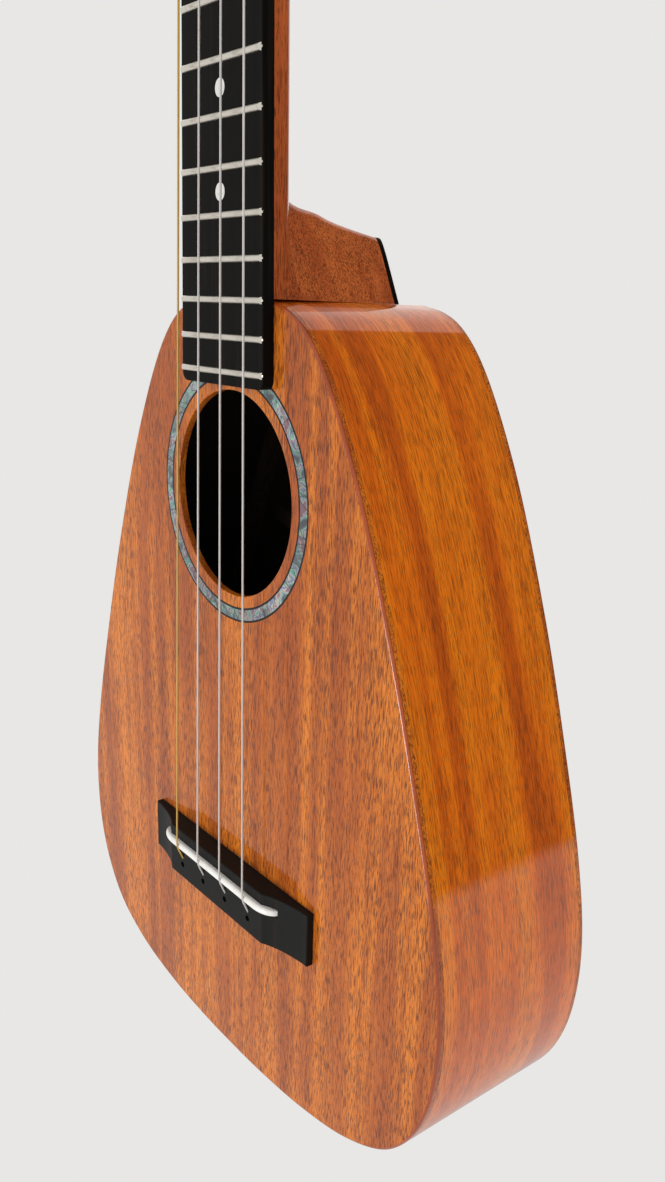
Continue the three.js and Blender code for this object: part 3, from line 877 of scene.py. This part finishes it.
def makeBridge():
    shape = bridgeShape
    half, top = bridgeHigh.x, bridgeHigh.z - topZ
    a, b = Vector((shape["blockHalf"], top)), Vector(shape["bend"])
    c = Vector((shape["slopeEnd"], shape["wing"]))
    slope = []
    for step in range(shape["slopeSteps"] + 1):
        t = step / shape["slopeSteps"]
        slope.append((1 - t) ** 2 * a + 2 * t * (1 - t) * b + t * t * c)
    right = [Vector((half, 0)), Vector((half, shape["wing"]))] + slope[::-1]
    outline = right + otherHalf(right)
    mesh = bmesh.new()
    slab(mesh, outline, bridgeLow.y, bridgeHigh.y)
    moveMesh(mesh, Matrix(((1, 0, 0, 0), (0, 0, 1, 0), (0, 1, 0, topZ), (0, 0, 0, 1))))
    faceOut(mesh)
    softenEdges(mesh, shape["edge"], 3, 30, lambda edge: min(vert.co.z for vert in edge.verts) > topZ + 0.1)
    piece = asObject("bridge_block", mesh)
    cutter = bmesh.new()
    gap = shape["slotGap"]
    box(
        cutter,
        (saddleLow.x - gap, saddleLow.y - gap, topZ + saddleShape["floor"] - 0.1),
        (saddleHigh.x + gap, saddleHigh.y + gap, topZ + 20),
    )
    carve(piece, cutter)
    for number in (1, 2, 3, 4):
        x = stringX(number, 0)
        hole = bmesh.new()
        barrel(hole, topZ - 2, topZ + 12, shape["holeRadius"], (x, shape["holeY"]), 20)
        carve(piece, hole)
        ramp = bmesh.new()
        tilt = math.atan2(shape["rampReach"], top - shape["rampLow"] + 0.6)
        barrel(ramp, 0, 14, shape["holeRadius"] * 0.75, (0, 0), 16)
        foot = Matrix.Translation((x, shape["holeY"], topZ + shape["rampLow"]))
        moveMesh(ramp, foot @ Matrix.Rotation(-tilt, 4, "X"))
        carve(piece, ramp)
    finishPiece(piece, ebonyBridge, ["bridge"])


def makeSaddle():
    half = saddleHigh.x
    thick = (saddleHigh.y - saddleLow.y) / 2
    middle = (saddleHigh.y + saddleLow.y) / 2
    top, floor = saddleHigh.z - topZ, saddleShape["floor"]
    rings = []
    for step in range(saddleShape["stations"] + 1):
        x = -half * math.cos(math.pi * step / saddleShape["stations"])
        past = max(0, (abs(x) - saddleShape["shoulder"]) / (half - saddleShape["shoulder"]))
        endHeight = saddleShape["endHeight"]
        height = endHeight + (top - endHeight) * math.sqrt(max(0, 1 - past * past))
        depth = thick * (1 - 0.35 * past**4)
        ring = [Vector((x, middle - depth, topZ + floor))]
        for turn in range(13):
            angle = math.pi * turn / 12
            low = height - depth * 0.9
            rise = max(floor + 0.2, low) + depth * 0.9 * math.sin(angle)
            ring.append(Vector((x, middle - depth * math.cos(angle), topZ + rise)))
        ring.append(Vector((x, middle + depth, topZ + floor)))
        rings.append(ring)
    mesh = bmesh.new()
    skin(mesh, rings)
    finishPiece(asObject("saddle_bone", mesh), bone, ["saddle"], angle=50)


makeBridge()
makeSaddle()
print("bridge made")


# ---- neck, heel and headstock

neckShape = {
    "depthAtNut": 12.0,
    "depthAtHeel": 13.0,
    "shaftPower": 2.2,
    "heelPower": 8.0,
    "heelDepth": 54.0,
    "heelTopHalf": 22.7,
    "heelBackHalf": 14.4,
    "heelTaper": 0.49,
    "nose": [
        (1, 236),
        (7, 235.6),
        (10.5, 233),
        (13, 228),
        (16, 223.2),
        (20, 220.6),
        (28.9, 219),
        (33.6, 217.4),
        (43.4, 215.4),
        (54, 213.7),
    ],
    "noseSteps": 4,
    "ringSteps": 26,
}
headShape = {
    "tilt": 12.0,
    "length": 118.0,
    "thickness": 10.0,
    "gap": 0.3,
    "veneer": 1.6,
    "wide": 27.5,
    "edge": 0.8,
}
nutHalf = nutHigh.x
endHalf = fretboardHigh.x


def boardHalf(y):  # half of the fretboard's width
    share = (y - fretboardLow.y) / (scaleLength - fretboardLow.y)
    return endHalf + (nutHalf - endHalf) * share


noseCurve = smoothPath([(depth, y) for depth, y in neckShape["nose"]], neckShape["noseSteps"])


def along(pairs, value):  # the second number of the pairs where the first is that value
    for (a, b), (c, d) in zip(pairs, pairs[1:]):
        if a <= value <= c:
            return b + (d - b) * (value - a) / (c - a)
    return pairs[0][1] if value < pairs[0][0] else pairs[-1][1]


noseByDepth = [(point.x, point.y) for point in noseCurve]
noseByPlace = [(point.y, point.x) for point in reversed(noseCurve)]


def shaftDepth(y):
    share = (y - neckEnd) / (scaleLength - neckEnd)
    return neckShape["depthAtHeel"] + (neckShape["depthAtNut"] - neckShape["depthAtHeel"]) * share


def neckHalf(depth, y):
    shaftPower, heelPower = neckShape["shaftPower"], neckShape["heelPower"]
    shaft = boardHalf(y) * max(0, 1 - (depth / shaftDepth(y)) ** shaftPower) ** (1 / shaftPower)
    topHalf, backHalf = neckShape["heelTopHalf"], neckShape["heelBackHalf"]
    full = topHalf + (backHalf - topHalf) * depth / neckShape["heelDepth"]
    out, reach = max(0, y - neckEnd), along(noseByDepth, depth) - neckEnd
    heel = (full - neckShape["heelTaper"] * out) * max(0, 1 - (out / reach) ** heelPower) ** (1 / heelPower)
    power = 6 + 200 * math.exp(-depth / 2)
    heel = max(0, heel)
    big = max(shaft, heel, 1e-6)
    return big * ((shaft / big) ** power + (heel / big) ** power) ** (1 / power)


def neckBottom(y):
    if y <= noseByPlace[0][0]:
        return neckShape["heelDepth"]
    nose, shaft = along(noseByPlace, y), shaftDepth(y)
    return (nose**6 + shaft**6) ** (1 / 6)


def makeNeck():
    tip = noseByPlace[0][0] - neckEnd
    places = [neckEnd + tip * math.sin(math.pi / 2 * i / 12) for i in range(12)]
    places += [y for y, depth in noseByPlace]
    places += [280 + i * (nutHigh.y + 1 - 280) / 8 for i in range(9)]
    rings = []
    for y in places:
        bottom = neckBottom(y)
        right = []
        for step in range(neckShape["ringSteps"] + 1):
            depth = bottom * math.sin(math.pi / 2 * step / neckShape["ringSteps"])
            half = neckHalf(depth, y) if depth < bottom - 1e-6 or y < noseByPlace[0][0] - 0.01 else 0.02
            right.append(Vector((half, y, topZ - depth)))
        rings.append(right + otherHalf(right))
    mesh = bmesh.new()
    skin(mesh, rings)
    headMesh = bmesh.new()
    slab(headMesh, headOutline(-6), -headShape["thickness"], 0)
    faceOut(headMesh)
    softenEdges(headMesh, headShape["edge"], 3, 35, lambda edge: max(vert.co.z for vert in edge.verts) < -1)
    head = asObject("head_wood", headMesh)
    cutter = bmesh.new()
    for place in posts:
        barrel(cutter, -40, 20, tunerShape["postRadius"] + 0.3, place["spot"], 24)
    carve(head, cutter)
    head.data.transform(Matrix.Scale(1 / mm, 4))
    head.data.transform(headFrame)
    mesh.from_mesh(head.data)
    bpy.data.objects.remove(head)
    finishPiece(asObject("neck_wood", mesh), neckWood, ["neck"])


def makeHeelCap():
    depth = neckShape["heelDepth"]
    places = [neckEnd + (noseByPlace[0][0] - neckEnd) * math.sin(math.pi / 2 * i / 20) for i in range(20)]
    right = [Vector((neckHalf(depth, y), y)) for y in places]
    outline = right + [Vector((0, noseByPlace[0][0]))] + otherHalf(right)
    mesh = bmesh.new()
    capLow, capHigh = sizes("heel_cap")
    slab(mesh, outline, capLow.z, capHigh.z)
    faceOut(mesh)
    softenEdges(mesh, 0.5, 3, 50, lambda edge: max(vert.co.z for vert in edge.verts) < capHigh.z - 0.1)
    finishPiece(asObject("heel_plate", mesh), ebonyBoard, ["heel_cap"])


def headOutline(start):
    half, wide, top = nutHalf, headShape["wide"], headShape["length"]
    right = bezier((half, start), (half, start + 14), (wide - 4, 14), (wide - 1, 28), 10)
    right += bezier((wide - 1, 28), (wide + 1, 50), (wide + 1, top - 35), (wide - 3, top - 8), 12)[1:]
    corner, dip = (wide - 3, top - 8), (wide - 12, top - 2.4)
    right += bezier(corner, (wide - 4, top - 3), (wide - 8, top - 2), dip, 8)[1:]
    right += bezier(dip, (12, top - 4), (6, top), (0, top), 8)[1:]
    return right + otherHalf(right[:-1])


# The headstock's own frame starts behind the nut and leans back.
lean = Matrix.Rotation(-math.radians(headShape["tilt"]), 4, "X")
headFrame = Matrix.Translation((0, nutHigh.y, topZ)) @ lean


tunerShape = {
    "postX": 17.0,
    "rows": (36.0, 79.0),
    "postRadius": 3.0,
    "postTop": 12.0,
    "plateThickness": 1.2,
    "plateHalf": (9.5, 13.0),
    "teeth": 14,
    "module": 0.7,
    "gearFace": 3.6,
    "wormRadius": 2.2,
    "wormCore": 1.35,
    "wormOuter": 2.8,
    "wormLength": 8.8,
    "shaftRadius": 1.5,
    "buttonX": 27.0,
    "button": (6.2, 8.6, 4.0),
    "screwRadius": 1.4,
    "screwInset": 2.6,
    "plateCorner": 2.5,
    "earHalf": 3.0,
    "earReach": 2.6,
    "earThickness": 1.4,
    "earGap": 0.3,
    "bushing": 2.3,
    "bushingRise": 0.9,
    "threadFoot": 0.62,
    "threadTop": 0.2,
    "eyeRadius": 0.7,
}
posts = []
for number, side, row in ((1, -1, 0), (2, -1, 1), (3, 1, 1), (4, 1, 0)):
    spot = (side * tunerShape["postX"], tunerShape["rows"][row])
    posts.append({"number": number, "side": side, "spot": spot})


def makeHeadplate():
    mesh = bmesh.new()
    slab(mesh, headOutline(1.2), headShape["gap"] * 0.1, headShape["gap"] + headShape["veneer"])
    faceOut(mesh)
    softenEdges(mesh, 0.5, 3, 50, lambda edge: min(vert.co.z for vert in edge.verts) > 1)
    piece = asObject("head_veneer", mesh)
    cutter = bmesh.new()
    for place in posts:
        barrel(cutter, -5, 10, tunerShape["postRadius"] + 0.3, place["spot"], 24)
    carve(piece, cutter)
    piece.data.transform(Matrix.Scale(1 / mm, 4))
    piece.data.transform(Matrix.Scale(mm, 4) @ headFrame)
    finishPiece(piece, ebonyBoard, ["headplate"])


makeNeck()
makeHeelCap()
makeHeadplate()
print("neck made")


# ---- fretboard, frets, dots and nut

fretShape = {
    "corner": 3.0,
    "edge": 0.3,
    "crownWidth": 2.0,
    "crownHeight": 1.0,
    "inset": 0.5,
    "endSlope": 32.0,
    "tangWidth": 0.6,
    "tangDepth": 1.8,
    "dotRadius": 2.5,
    "dotSpaces": (5, 7, 10, 12),
}
fretNames = sorted(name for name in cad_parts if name.startswith("fret_"))
fretPlaces = [(sizes(name)[0].y + sizes(name)[1].y) / 2 for name in fretNames]


def makeFretboard():
    corner = fretShape["corner"]
    endY, nutY = fretboardLow.y, fretboardHigh.y
    right = [Vector((nutHalf, nutY))]
    for step in range(9):
        angle = math.pi / 2 * step / 8
        x, y = corner * math.cos(angle), corner * math.sin(angle)
        right.append(Vector((endHalf - corner + x, endY + corner - y)))
    outline = right + otherHalf(right)
    mesh = bmesh.new()
    slab(mesh, outline, fretboardLow.z, fretboardHigh.z)
    faceOut(mesh)
    rim = fretboardHigh.z - 0.1
    softenEdges(mesh, fretShape["edge"], 3, 50, lambda edge: min(vert.co.z for vert in edge.verts) > rim)
    finishPiece(asObject("fingerboard", mesh), ebonyBoard, ["fretboard"])


def makeFret(name, y):
    half = fretShape["crownWidth"] / 2
    reach = boardHalf(y)
    top = fretboardHigh.z
    angles = [math.pi * i / 10 for i in range(11)]
    height = fretShape["crownHeight"]
    points = [Vector((y + half * math.cos(angle), height * math.sin(angle))) for angle in angles]
    mesh = bmesh.new()
    slab(mesh, points, -reach + fretShape["inset"], reach - fretShape["inset"])
    moveMesh(mesh, sideways(z=top))
    slope = math.radians(fretShape["endSlope"])
    for side in (1, -1):
        trim = bmesh.ops.bisect_plane(
            mesh,
            geom=mesh.verts[:] + mesh.edges[:] + mesh.faces[:],
            plane_co=(side * (reach - fretShape["inset"]), y, top),
            plane_no=(side * math.cos(slope), 0, math.sin(slope)),
            clear_outer=True,
        )
        rims = [item for item in trim["geom_cut"] if isinstance(item, bmesh.types.BMEdge)]
        bmesh.ops.edgeloop_fill(mesh, edges=rims)
    tang = fretShape["tangWidth"] / 2
    box(mesh, (-reach - 0.02, y - tang, top - fretShape["tangDepth"]), (reach + 0.02, y + tang, top + 0.01))
    finishPiece(asObject("crown_" + name[-2:], mesh), fretMetal, [name], angle=40)


def makeDots():
    for space in fretShape["dotSpaces"]:
        y = (fretPlaces[space - 1] + fretPlaces[space - 2]) / 2
        mesh = bmesh.new()
        barrel(mesh, fretboardHigh.z - 1, fretboardHigh.z + 0.02, fretShape["dotRadius"], (0, y), 40)
        finishPiece(asObject("pearl_dot_%02d" % space, mesh), pearlShade)


nutShape = {"round": 1.6, "slotHalf": 0.45, "slotDrop": 0.4, "edge": 0.3}
stringHeight = 5.5  # of the strings over the soundboard, at the nut


def makeNut():
    low, high = nutLow, nutHigh
    rise, width = nutShape["round"], high.y - low.y
    profile = [(low.y, low.z), (high.y, low.z), (high.y, high.z - rise)]
    for i in range(1, 9):
        angle = math.pi / 2 * i / 8
        profile.append((low.y + width * math.cos(angle), high.z - rise + rise * math.sin(angle)))
    mesh = bmesh.new()
    slab(mesh, [Vector(point) for point in profile], low.x, high.x)
    moveMesh(mesh, sideways())
    faceOut(mesh)
    softenEdges(mesh, nutShape["edge"], 3, 60)
    piece = asObject("nut_bone", mesh)
    cutter = bmesh.new()
    for number in (1, 2, 3, 4):
        x, half = stringX(number, scaleLength), nutShape["slotHalf"]
        bottom = topZ + stringHeight - nutShape["slotDrop"]
        box(cutter, (x - half, low.y - 1, bottom), (x + half, high.y + 1, topZ + 20))
    carve(piece, cutter)
    finishPiece(piece, bone, ["nut"])


makeFretboard()
for fretName, fretPlace in zip(fretNames, fretPlaces):
    makeFret(fretName, fretPlace)
makeDots()
makeNut()
print("fretboard made")


# ---- tuners

gearRadius = tunerShape["teeth"] * tunerShape["module"] / 2
wormOffset = gearRadius + tunerShape["wormRadius"]
plateBack = -headShape["thickness"] - headShape["gap"] - tunerShape["plateThickness"]
wormZ = plateBack - 0.4 - tunerShape["wormOuter"]
lead = math.pi * tunerShape["module"]


def tunerMatrix(place):
    mirror = Matrix.Diagonal((place["side"], 1, 1, 1))
    return headFrame @ Matrix.Translation((*place["spot"], 0)) @ mirror


def finishTuner(name, mesh, place, material, replaced, body, angle=35):
    moveMesh(mesh, tunerMatrix(place))
    number = str(place["number"])
    names = [node + "_" + number for node in replaced]
    bodyName = "instrument" if body == "instrument" else body + "_" + number
    finishPiece(asObject(name + "_" + number, mesh), material, names, bodyName, angle)


def addScrew(mesh, x, y, z):
    radius = tunerShape["screwRadius"]
    dome = bmesh.ops.create_uvsphere(mesh, u_segments=20, v_segments=10, radius=radius)["verts"]
    bmesh.ops.scale(mesh, vec=(1, 1, 0.45), verts=dome)
    bmesh.ops.translate(mesh, vec=(x, y, z), verts=dome)


def makePlate(place):
    shape = tunerShape
    wide, long = shape["plateHalf"]
    mesh = bmesh.new()
    corner = shape["plateCorner"]
    outline = []
    for signX, signY, start in ((1, 1, 0), (-1, 1, 1), (-1, -1, 2), (1, -1, 3)):
        for step in range(7):
            angle = math.pi / 2 * (start + step / 6)
            x = signX * (wide - corner) + corner * math.cos(angle)
            y = signY * (long - corner) + corner * math.sin(angle)
            outline.append(Vector((x, y)))
    slab(mesh, outline, plateBack, plateBack + shape["plateThickness"])
    faceOut(mesh)
    softenEdges(mesh, 0.25, 2, 50)
    earInner = shape["wormLength"] / 2 + shape["earGap"]
    half, level = shape["earHalf"], wormZ - plateBack
    for end in (-1, 1):
        inner, outer = sorted((end * earInner, end * (earInner + shape["earThickness"])))
        ear = bmesh.new()
        points = [Vector((half, 0)), Vector((half, level))]
        for i in range(1, 12):
            angle = math.pi * i / 12
            points.append(Vector((half * math.cos(angle), level - shape["earReach"] * math.sin(angle))))
        points += [Vector((-half, level)), Vector((-half, 0))]
        slab(ear, points, inner, outer)
        moveMesh(ear, sideways(-wormOffset, plateBack + shape["earGap"]))
        faceOut(ear)
        data = bpy.data.meshes.new("ear")
        ear.to_mesh(data)
        ear.free()
        mesh.from_mesh(data)
        bpy.data.meshes.remove(data)
    inset = shape["screwInset"]
    for x in (-1, 1):
        for y in (-1, 1):
            addScrew(mesh, x * (wide - inset), y * (long - inset), plateBack - 0.1)
    finishTuner("machine_plate", mesh, place, nickel, ["tuner_plate"], "instrument")


def makeBushing(place):
    mesh = bmesh.new()
    low = headShape["gap"] + headShape["veneer"]
    high = low + tunerShape["bushingRise"]
    radius = tunerShape["postRadius"]
    bore, rim = radius + 0.25, radius + tunerShape["bushing"]
    profile = [(bore, low - 1), (rim, low - 1), (rim, low + 0.3), (radius + 1.7, high), (bore, high)]
    verts = [mesh.verts.new((x, 0, z)) for x, z in profile]
    edges = [mesh.edges.new((a, b)) for a, b in zip(verts, verts[1:] + verts[:1])]
    turn = {"cent": (0, 0, 0), "axis": (0, 0, 1), "angle": math.tau}
    bmesh.ops.spin(mesh, geom=verts + edges, steps=40, use_merge=True, **turn)
    finishTuner("post_bushing", mesh, place, nickel, [], "instrument")


def makeWorm(place):
    shape = tunerShape
    half = shape["wormLength"] / 2
    earEnd = half + shape["earGap"] + shape["earThickness"]
    mesh = bmesh.new()
    crossBarrel(mesh, -half, half, 0, 0, shape["wormCore"])
    crossBarrel(mesh, -earEnd - 0.6, -half + 0.6, 0, 0, shape["shaftRadius"])
    crossBarrel(mesh, half - 0.6, shape["buttonX"] - 2, 0, 0, shape["shaftRadius"])
    crossBarrel(mesh, -half, -half + 1.1, 0, 0, shape["wormOuter"] - 0.3)
    crossBarrel(mesh, half - 1.1, half, 0, 0, shape["wormOuter"] - 0.3)
    turns, steps = 2.4, 72
    root = shape["wormCore"] - 0.3
    start, outer = -lead * turns / 2, shape["wormOuter"]
    foot, tip = shape["threadFoot"], shape["threadTop"]
    section = [(start + foot, root), (start + tip, outer), (start - tip, outer), (start - foot, root)]
    angle = -math.pi * turns
    verts = [mesh.verts.new((x, radius * math.cos(angle), radius * math.sin(angle))) for x, radius in section]
    edges = [mesh.edges.new((a, b)) for a, b in zip(verts, verts[1:] + verts[:1])]
    bmesh.ops.spin(
        mesh,
        geom=verts + edges,
        cent=(0, 0, 0),
        axis=(1, 0, 0),
        dvec=(lead * turns / steps, 0, 0),
        angle=math.tau * turns,
        steps=steps,
    )
    rims = [edge for edge in mesh.edges if edge.is_boundary]
    bmesh.ops.edgeloop_fill(mesh, edges=rims)
    moveMesh(mesh, Matrix.Translation((0, -wormOffset, wormZ)))
    finishTuner("worm_rod", mesh, place, nickel, ["worm_shaft"], "button_shaft")


def makeGear(place):
    shape = tunerShape
    root, outer = gearRadius - 0.95, gearRadius + 0.5
    halfTooth = 0.46 / gearRadius
    twist = lead / (math.tau * shape["wormRadius"]) / gearRadius
    rings = []
    for level in (-0.5, -0.25, 0, 0.25, 0.5):
        rise = level * shape["gearFace"]
        ring = []
        for tooth in range(shape["teeth"]):
            middle = -math.pi / 2 + math.tau * (tooth + 0.5) / shape["teeth"] + twist * rise
            for radius, share in ((root, -1.75), (outer, -0.55), (outer, 0.55), (root, 1.75)):
                angle = middle + share * halfTooth
                ring.append(Vector((radius * math.cos(angle), radius * math.sin(angle), wormZ + rise)))
        rings.append(ring)
    mesh = bmesh.new()
    skin(mesh, rings)
    low = wormZ - shape["gearFace"] / 2
    radius, top = shape["postRadius"], shape["postTop"]
    barrel(mesh, low + 0.2, top - 0.6, radius)
    barrel(mesh, top - 0.6, top, radius, radiusTop=radius - 0.6)
    barrel(mesh, low - 0.8, low + 0.2, radius - 0.5, radiusTop=radius)
    piece = asObject("gear_raw", mesh)
    cutter = bmesh.new()
    crossBarrel(cutter, -5, 5, 0, 6, shape["eyeRadius"], 16)
    box(cutter, (-3, -0.35, low - 2), (3, 0.35, low - 0.35))
    carve(piece, cutter)
    piece.data.transform(Matrix.Scale(1 / mm, 4))
    carved = bmesh.new()
    carved.from_mesh(piece.data)
    bpy.data.objects.remove(piece)
    finishTuner("string_post", carved, place, brass, ["post_gear"], "post")


def makeButton(place):
    shape = tunerShape
    mesh = bmesh.new()
    grip = bmesh.ops.create_uvsphere(mesh, u_segments=48, v_segments=24, radius=1)["verts"]
    bmesh.ops.scale(mesh, vec=shape["button"], verts=grip)
    bmesh.ops.translate(mesh, vec=(shape["buttonX"], -wormOffset, wormZ), verts=grip)
    crossBarrel(mesh, 18.6, 22.5, -wormOffset, wormZ, 3, 32)
    finishTuner("pearl_button", mesh, place, pearlShade, ["button"], "button_shaft", 50)


for place in posts:
    makePlate(place)
    makeBushing(place)
    makeWorm(place)
    makeGear(place)
    makeButton(place)
print("tuners made")


# ---- strings

stringShape = {"radius": 0.35, "bend": 2.2, "windings": 3, "post": 3.52, "level": 6.0, "knot": 1.6}


def rounded(corners, trim, steps=8):  # straight runs joined by short curves
    points = [Vector(corners[0])]
    for before, corner, after in zip(corners, corners[1:], corners[2:]):
        before, corner, after = Vector(before), Vector(corner), Vector(after)
        cut = min(trim, (corner - before).length / 2.2, (after - corner).length / 2.2)
        a = corner + (before - corner).normalized() * cut
        c = corner + (after - corner).normalized() * cut
        for step in range(steps + 1):
            t = step / steps
            points.append((1 - t) ** 2 * a + 2 * t * (1 - t) * corner + t * t * c)
    return points + [Vector(corners[-1])]


def makeString(place):
    number, side = place["number"], place["side"]
    shape = stringShape
    saddleY = (saddleLow.y + saddleHigh.y) / 2
    x0, nutX = stringX(number, 0), stringX(number, scaleLength)
    post = headFrame @ Vector((place["spot"][0] - side * shape["post"], place["spot"][1], shape["level"]))
    corners = [
        (x0, bridgeShape["holeY"], boardBase - 5),
        (x0, bridgeShape["holeY"], topZ + 6.0),
        (stringX(number, saddleY), saddleY, saddleHigh.z + shape["radius"]),
        (nutX, scaleLength, topZ + stringHeight),
        (nutX, nutHigh.y, topZ + stringHeight - 0.7),
        post,
    ]
    material, slotName = (goldNylon, "gold_string") if number == 1 else (clearNylon, "clear_string")
    path, replaced = rounded(corners, shape["bend"]), ["string_%d" % number]
    wirePiece("string_line_%d" % number, path, shape["radius"], material, replaced)
    knot = bmesh.new()
    ball = bmesh.ops.create_uvsphere(knot, u_segments=20, v_segments=12, radius=shape["knot"])["verts"]
    bmesh.ops.translate(knot, vec=(x0, bridgeShape["holeY"], boardBase - 4.2), verts=ball)
    finishPiece(asObject("string_knot_%d" % number, knot), material)
    turns = []
    for step in range(shape["windings"] * 24 + 1):
        angle = math.tau * step / 24 + (math.pi if side > 0 else 0)
        drop = shape["level"] + 0.3 - 2.2 * shape["radius"] * step / 24
        x = shape["post"] * math.cos(angle) + place["spot"][0]
        y = -side * shape["post"] * math.sin(angle) + place["spot"][1]
        turns.append(headFrame @ Vector((x, y, drop)))
    wirePiece("winding_%d" % number, turns, shape["radius"], material, body="post_%d" % number)


for place in posts:
    makeString(place)
print("strings made")


# ---- inside pieces keep their shape and get their wood

insideNodes = ["neck_block", "tail_block", "lining_top", "lining_back", "bridge_plate"]
insideNodes += ["upper_brace", "lower_brace", "back_brace_upper", "back_brace_lower"]
insideNodes += ["fan_brace_" + side for side in ("left", "centre", "right")]
for name in insideNodes:
    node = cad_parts[name]
    node.data.materials.clear()
    node.data.materials.append(innerWood)
print("inside dressed")
